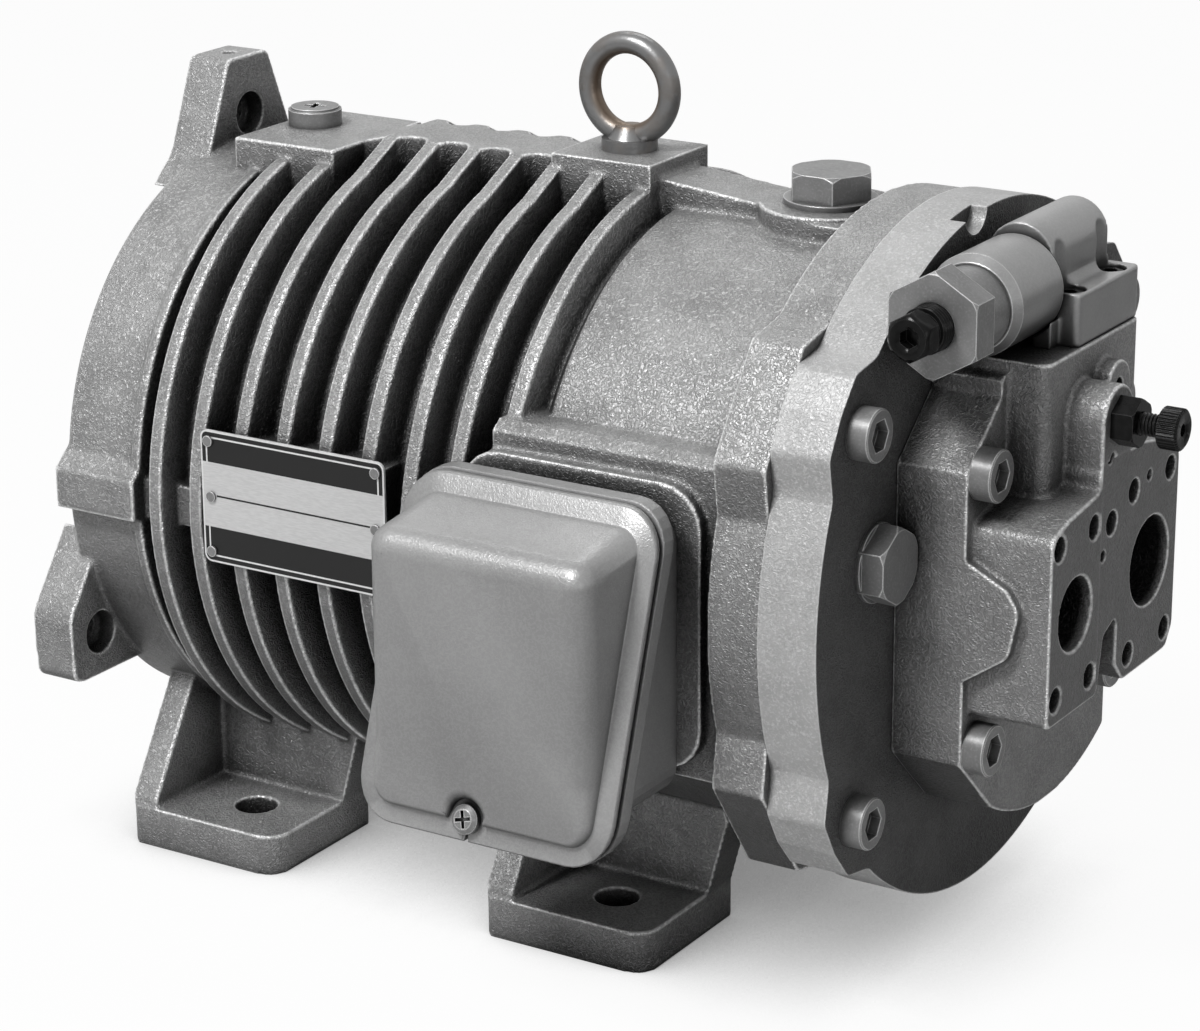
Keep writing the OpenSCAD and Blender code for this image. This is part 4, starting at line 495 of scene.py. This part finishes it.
def plate_metal():
    """Nameplate without words: black bands above and below a silver middle."""
    g = Graph("plate_metal")
    low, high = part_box("nameplate")
    place = g.split(g.coords)
    height = g.ramp(place[2], low.z, high.z)
    height.node.interpolation_type = "LINEAR"
    lower, upper = PLATE_BANDS
    black = g.math("MAXIMUM", g.math("LESS_THAN", height, lower), g.math("GREATER_THAN", height, upper))
    over = []
    away = []
    for axis, middle, half in ((0, (low.x + high.x) / 2, (high.x - low.x) / 2),
                               (2, (low.z + high.z) / 2, (high.z - low.z) / 2)):
        off = g.math("ABSOLUTE", g.math("SUBTRACT", place[axis], middle))
        away.append(g.math("DIVIDE", off, half))
        over.append(g.math("MAXIMUM", g.math("SUBTRACT", off, half - PLATE_CORNER), 0))
    reach = g.math("SQRT", g.math("ADD", g.math("POWER", over[0], 2), g.math("POWER", over[1], 2)))
    inset = g.math("SUBTRACT", PLATE_CORNER, reach)
    edge = g.math("LESS_THAN", inset, PLATE_EDGE)
    border = g.math("LESS_THAN", g.math("ABSOLUTE", g.math("SUBTRACT", inset, PLATE_BORDER)), PLATE_LINE)
    rule = g.math("LESS_THAN", g.math("ABSOLUTE", g.math("SUBTRACT", height, PLATE_RULE)), 0.007)
    rule = g.math("MULTIPLY", rule, g.math("LESS_THAN", away[0], 0.84))
    silver = g.mix(g.cloud(3, 3, (1, 1, 8)), grey(0.60), grey(0.68))
    body = g.mix(g.math("MAXIMUM", black, rule), silver, grey(0.010))
    body = g.mix(g.math("MAXIMUM", edge, g.math("MULTIPLY", border, black)), body, grey(0.80))
    g.set("Base Color", body)
    g.set("Metallic", 0.3)
    g.set("Roughness", g.ramp(g.noise(0.6, 3, (1, 1, 5)), 0.3, 0.7, 0.30, 0.42))
    g.set("Normal", g.bump(g.noise(0.5, 2, (1, 1, 6)), 0.015, g.bevel(0.25)))
    return g.material


make_camera()

CAST = cast_metal()
SATIN = satin_metal()
COVER = pressed_cover()
ZINC = zinc_steel()
ADAPTER = adapter_metal()
PUMP = pump_metal()
EYE = eye_steel()
BLACK = black_oxide()
RUBBER = rubber()
PLATE = plate_metal()
STEEL = plain_metal("ground_steel", grey(0.45), grey(0.55), 0.95, 0.25)
COPPER = plain_metal("windings", (0.35, 0.11, 0.04, 1), (0.5, 0.18, 0.07, 1), 0.6, 0.4)
BRONZE = plain_metal("bronze", (0.4, 0.25, 0.12, 1), (0.5, 0.32, 0.16, 1), 0.9, 0.35)
MOULDED = plain_metal("moulded_block", (0.03, 0.02, 0.015, 1), (0.05, 0.03, 0.02, 1), 0.0, 0.5)

BY_SLOT = {
    "cast": CAST, "satin": SATIN, "pressed": COVER, "zinc": ZINC, "black_oxide": BLACK,
    "rubber": RUBBER, "steel": STEEL, "copper": COPPER, "brass": BRONZE, "block": MOULDED,
    "plate": PLATE, "core": STEEL, "bronze": BRONZE,
}
BY_NODE = {"lifting_eye": EYE, "adapter_flange": ADAPTER, "pump_housing": PUMP}


def paint(obj, material):
    """Gives an object one material."""
    obj.data.materials.clear()
    obj.data.materials.append(material)


def dress_nodes():
    """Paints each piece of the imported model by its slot, or by its own name."""
    slots = {part["node"]: part["material_slot"] for part in frame["record"]["subparts"]}
    for name, obj in nodes.items():
        paint(obj, BY_NODE.get(name, BY_SLOT[slots[name]]))


def soften(name, voxel_mm, rounds):
    """Rounds the edges and corners of a casting, as its pattern would."""
    obj = nodes[name]
    remesh = obj.modifiers.new("cast_skin", "REMESH")
    remesh.mode = "VOXEL"
    remesh.voxel_size = voxel_mm * MM
    remesh.use_smooth_shade = True
    smooth = obj.modifiers.new("cast_round", "SMOOTH")
    smooth.factor = 0.5
    smooth.iterations = rounds


# Pieces built here

def close_rings(name, rows, sharp=None):
    """Closed mesh through rows of points in mm, smooth but for edges sharper than an angle."""
    mesh = bmesh.new()
    rings = [[mesh.verts.new(point * MM) for point in row] for row in rows]
    for near, far in zip(rings, rings[1:]):
        for i in range(len(near)):
            k = (i + 1) % len(near)
            mesh.faces.new((near[i], near[k], far[k], far[i]))
    mesh.faces.new(list(reversed(rings[0])))
    mesh.faces.new(rings[-1])
    bmesh.ops.recalc_face_normals(mesh, faces=mesh.faces)
    data = bpy.data.meshes.new(name)
    mesh.to_mesh(data)
    mesh.free()
    data.shade_smooth()
    if sharp:
        data.set_sharp_from_angle(angle=radians(sharp))
    return link(bpy.data.objects.new(name, data))


def turned(name, profile, place, segments=48):
    """Mesh turned round an axis: rows of (along, radius) or (along, function of the angle), in mm."""
    rows = []
    for along, radius in profile:
        row = []
        for i in range(segments):
            angle = 2 * pi * i / segments
            out = radius(angle) if callable(radius) else radius
            row.append(place(along, out * cos(angle), out * sin(angle)))
        rows.append(row)
    return close_rings(name, rows, sharp=32)


def thread_rows(start, end, radius, pitch, depth, steps=8):
    """Rows of a helical thread between two places along the axis."""
    count = max(2, round(abs(end - start) / pitch * steps))

    def crest(along):
        def reach(angle):
            turn = (along / pitch - angle / (2 * pi)) % 1
            return radius - depth * abs(2 * turn - 1)
        return reach
    return [(along, crest(along)) for along in (start + (end - start) * i / count for i in range(count + 1))]


def hexagon_reach(flats, limit):
    """Distance to the side of a hexagon, cut off at the radius of its chamfer."""
    def reach(angle):
        side = (angle + pi / 6) % (pi / 3) - pi / 6
        return min(flats / 2 / cos(side), limit)
    return reach


def knurl_reach(radius, teeth, depth):
    """Radius of a knob with fine straight teeth."""
    def reach(angle):
        return radius - depth * abs(2 * (angle * teeth / (2 * pi) % 1) - 1)
    return reach


def rounded_outline(low, high, inset):
    """Points round the cover in x and z, each with its direction inwards."""
    radius = max(COVER_CORNER - inset, 0.5)
    x0, x1, z0, z1 = low.x + inset, high.x - inset, low.z + inset, high.z - inset
    corners = ((x1, z1), (x0, z1), (x0, z0), (x1, z0))
    spots = []
    for quarter, (x, z) in enumerate(corners):
        centre = Vector((x - radius if x == x1 else x + radius, z - radius if z == z1 else z + radius))
        for step in range(COVER_CORNER_STEPS + 1):
            angle = (quarter + step / COVER_CORNER_STEPS) * pi / 2
            out = Vector((cos(angle), sin(angle)))
            spots.append((centre + out * radius, -out))
        start = spots[-1][0]
        turn = (quarter + 1) * pi / 2
        out = Vector((cos(turn), sin(turn)))
        along = Vector((-out.y, out.x))
        length = (x1 - x0 if quarter % 2 == 0 else z1 - z0) - 2 * radius
        for step in range(1, COVER_SIDE_STEPS):
            spots.append((start + along * (length * step / COVER_SIDE_STEPS), -out))
    return spots


def cover_outline(low, high, inset, notch):
    """The outline of the cover, raised over the screw by a round notch."""
    spots = rounded_outline(low, high, inset)
    reach = COVER_NOTCH + inset - COVER_RIM
    for i, (spot, inward) in enumerate(spots):
        off = spot.x - notch.x
        if abs(off) < reach and spot.y < notch.y + 3:
            raised = sqrt(max(reach ** 2 - off ** 2, 0))
            if notch.y + raised > spot.y:
                out = Vector((off, raised)).normalized()
                spots[i] = (Vector((spot.x, notch.y + raised)), out)
    return spots


def make_cover():
    """Pressed cover: flat rim on a leaning plane, and a dome with one rounding all round."""
    low, high = (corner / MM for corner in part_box("terminal_cover"))
    screw = sum(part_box("terminal_cover_screw"), Vector((0, 0, 0))) / 2 / MM
    notch = Vector((screw.x, low.z + COVER_NOTCH_RISE))
    tall = high.z - low.z

    def rim(z, off):
        """Place of the rim at a height, some way in front of its back."""
        return low.y + COVER_LIFT - off + (z - low.z) * COVER_LEAN / tall

    def ring(inset, off):
        return [Vector((p.x, rim(p.y, off), p.y)) for p, inward in cover_outline(low, high, inset, notch)]

    def dome(inset, wall, turn):
        """Row of the dome, at an angle of its rounding from the sides to the front."""
        row = []
        front = low.y + wall
        for p, inward in cover_outline(low, high, inset, notch):
            foot = rim(p.y, COVER_FLANGE - wall)
            bend = max(min(COVER_BEND, (foot - front) * 0.9) - wall, 0.1)
            spot = p + inward * bend * (1 - cos(turn))
            y = front + bend * (1 - sin(turn))
            share = min(max((foot - y) / COVER_DEPTH, 0), 1)
            rise = ((p.y - low.z) / tall) ** 3
            row.append(Vector((spot.x, y, spot.y - COVER_TAPER * share * rise)))
        return row

    turns = [pi / 2 * step / COVER_BEND_STEPS for step in range(COVER_BEND_STEPS + 1)]
    inner = COVER_RIM + COVER_WALL
    rows = [dome(inner, COVER_WALL, turn) for turn in reversed(turns)]
    rows += [ring(inner, 0), ring(0.3, 0), ring(0, 0.4), ring(0, COVER_FLANGE - 0.5),
             ring(0.5, COVER_FLANGE), ring(COVER_RIM - 0.5, COVER_FLANGE),
             ring(COVER_RIM, COVER_FLANGE + 0.4)]
    rows += [dome(COVER_RIM, 0, turn) for turn in turns]
    piece = close_rings("terminal_cover_pressed", rows, sharp=50)
    paint(piece, COVER)
    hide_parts("terminal_cover")
    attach(piece, "housing")


def make_pressure_spring():
    """Helical coil with closed ends, pressed by the seat that the pressure screw moves."""
    low, high = (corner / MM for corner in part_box("pressure_spring"))
    axis_x, axis_z = (low.x + high.x) / 2, (low.z + high.z) / 2
    wire = SPRING_WIRE / 2
    radius = (high.x - low.x) / 2 - wire
    count = SPRING_TURNS * SPRING_STEPS
    rows = []
    for i in range(count + 1):
        turn = SPRING_TURNS * i / count
        inner = min(max(turn - 1, 0), SPRING_TURNS - 2) / (SPRING_TURNS - 2)
        closed = SPRING_WIRE * 0.5 * (min(turn, 1) + max(turn - SPRING_TURNS + 1, 0))
        along = low.y + wire + closed + inner * (high.y - low.y - 2 * wire - SPRING_WIRE)
        out = Vector((cos(2 * pi * turn), 0, sin(2 * pi * turn)))
        middle = Vector((axis_x, along, axis_z)) + out * radius
        row = []
        for k in range(SPRING_SIDES):
            angle = 2 * pi * k / SPRING_SIDES
            offset = out * cos(angle) + Vector((0, sin(angle), 0))
            row.append(middle + offset * wire)
        rows.append(row)
    piece = close_rings("pressure_spring_coil", rows)
    paint(piece, STEEL)
    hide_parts("pressure_spring")
    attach(piece, "housing")
    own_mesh(piece)


def make_pressure_screw():
    """Blackened screw: chamfered hexagon with a socket, then a thread."""
    low, high = (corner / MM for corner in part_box("pressure_screw"))
    axis_x, axis_z = (low.x + high.x) / 2, (low.z + high.z) / 2
    head = low.y + PRESS_HEAD
    side = PRESS_FLATS / 2
    full = hexagon_reach(PRESS_FLATS, side / cos(pi / 6))
    eased = hexagon_reach(PRESS_FLATS, side + 0.45)
    socket = hexagon_reach(PRESS_SOCKET, PRESS_SOCKET)
    rows = [(low.y + 5, 0.4), (low.y + 5, socket), (low.y + 0.9, socket), (low.y + 0.1, 4.3)]
    rows += [(low.y, 4.6), (low.y + 0.05, side - 0.8), (low.y + 0.5, side - 0.15), (low.y + 1.0, eased)]
    rows += [(low.y + 1.9, full), (head - 1.9, full), (head - 1.0, eased), (head - 0.4, side - 0.2)]
    rows += [(head, side - 1), (head + 1.6, side - 1)]
    rows += thread_rows(head + 1.9, head + PRESS_THREAD, PRESS_RADIUS, PRESS_PITCH, PRESS_GROOVE)
    rows += [(high.y - 0.8, PRESS_RADIUS - 0.1), (high.y, PRESS_RADIUS - 0.9)]
    piece = turned("pressure_screw_threaded", rows, lambda y, u, v: Vector((axis_x + u, y, axis_z + v)))
    paint(piece, BLACK)
    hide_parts("pressure_screw")
    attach(piece, "pressure_screw")


def make_flow_screw():
    """Blackened screw: thread in front of its nut, then a knurled knob with a socket."""
    low, high = (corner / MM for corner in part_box("flow_screw"))
    axis_y, axis_z = (low.y + high.y) / 2, (low.z + high.z) / 2
    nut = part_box("flow_lock_nut")[1].x / MM
    knob = high.x - FLOW_KNOB
    reach = (high.z - low.z) / 2
    edge = knurl_reach(reach, FLOW_TEETH, FLOW_TOOTH)
    socket = hexagon_reach(FLOW_SOCKET, FLOW_SOCKET)
    rows = [(low.x, 3.2), (low.x + 0.8, 3.9), (nut - 1.2, 3.9)]
    rows += thread_rows(nut - 1, knob - 0.3, FLOW_RADIUS, FLOW_PITCH, FLOW_GROOVE)
    rows += [(knob - 0.1, 3.4), (knob, reach - 1.4), (knob + 0.8, edge), (high.x - 0.9, edge)]
    rows += [(high.x - 0.1, reach - 1.2), (high.x - 0.1, 3.0), (high.x - 0.6, socket)]
    rows += [(high.x - 2.8, socket), (high.x - 2.8, 0.4)]
    piece = turned("flow_screw_knurled", rows, lambda x, u, v: Vector((x, axis_y + u, axis_z + v)), 144)
    paint(piece, BLACK)
    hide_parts("flow_screw")
    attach(piece, "flow_screw")


dress_nodes()
make_cover()
make_pressure_spring()
make_pressure_screw()
make_flow_screw()
for casting in CAST_SKINS:
    soften(*casting)


# Stage: white backdrop and floor, soft lamps

def make_world():
    """White for the camera and in reflections, and a weak light on the object."""
    world = bpy.data.worlds.new("studio")
    bpy.context.scene.world = world
    world.use_nodes = True
    tree = world.node_tree
    tree.nodes.clear()
    path = tree.nodes.new("ShaderNodeLightPath")
    seen = path.outputs["Is Camera Ray"]
    for ray in ("Is Glossy Ray", "Is Transmission Ray"):
        either = tree.nodes.new("ShaderNodeMath")
        either.operation = "MAXIMUM"
        tree.links.new(seen, either.inputs[0])
        tree.links.new(path.outputs[ray], either.inputs[1])
        seen = either.outputs[0]
    strength = tree.nodes.new("ShaderNodeMapRange")
    strength.inputs["To Min"].default_value = WORLD_LIGHT
    strength.inputs["To Max"].default_value = 1.0
    tree.links.new(seen, strength.inputs["Value"])
    background = tree.nodes.new("ShaderNodeBackground")
    tree.links.new(strength.outputs[0], background.inputs["Strength"])
    output = tree.nodes.new("ShaderNodeOutputWorld")
    tree.links.new(background.outputs[0], output.inputs[0])


def make_floor():
    """Pale floor that shows white to the camera, with a painted shadow near the object and only a faint
    share of its real shadow.
    """
    mesh = bpy.data.meshes.new("floor")
    size = FLOOR_SIZE
    corners = [(-size, -size, 0), (size, -size, 0), (size, size, 0), (-size, size, 0)]
    mesh.from_pydata(corners, [], [(0, 1, 2, 3)])
    floor = link(bpy.data.objects.new("floor", mesh))
    g = Graph("floor")
    g.set("Base Color", g.mix(g.cloud(300, 2), grey(0.83), grey(0.86)))
    g.set("Roughness", 0.9)
    g.set("Specular IOR Level", 0.1)
    path = g.add("ShaderNodeLightPath")
    shade = g.painted_occlusion_shade(75)
    white = g.add("ShaderNodeEmission")
    # Painted shadow: the white darkens towards grey near the object.
    g.put(white.inputs["Color"], g.mix(g.ramp(shade, 0.0, 0.80), grey(0.18), grey(1.0)))
    white.inputs["Strength"].default_value = 1.0
    blend = g.add("ShaderNodeMixShader")
    seen = g.math("MAXIMUM", path.outputs["Is Camera Ray"], path.outputs["Is Transmission Ray"])
    g.put(blend.inputs[0], g.math("MULTIPLY", seen, 0.96))
    g.tree.links.new(g.shader.outputs[0], blend.inputs[1])
    g.tree.links.new(white.outputs[0], blend.inputs[2])
    g.tree.links.new(blend.outputs[0], g.output.inputs[0])
    paint(floor, g.material)


def lamp(name, place, size, watts):
    """Oblong lamp that points at the object."""
    data = bpy.data.lights.new(name, "AREA")
    data.shape = "RECTANGLE"
    data.size, data.size_y = size
    data.energy = watts
    obj = link(bpy.data.objects.new(name, data))
    obj.location = place
    obj.rotation_euler = (Vector(place) - Vector(LAMP_TARGET)).to_track_quat("Z", "Y").to_euler()


make_world()
make_floor()
lamp("key", (-0.28, -1.25, 1.75), (0.6, 0.45), 33)
lamp("front", (1.5, -1.2, 0.5), (0.4, 0.6), 2)
lamp("rim", (-0.5, 0.9, 1.6), (1.0, 0.4), 5)

bpy.context.scene.view_settings.view_transform = "Standard"
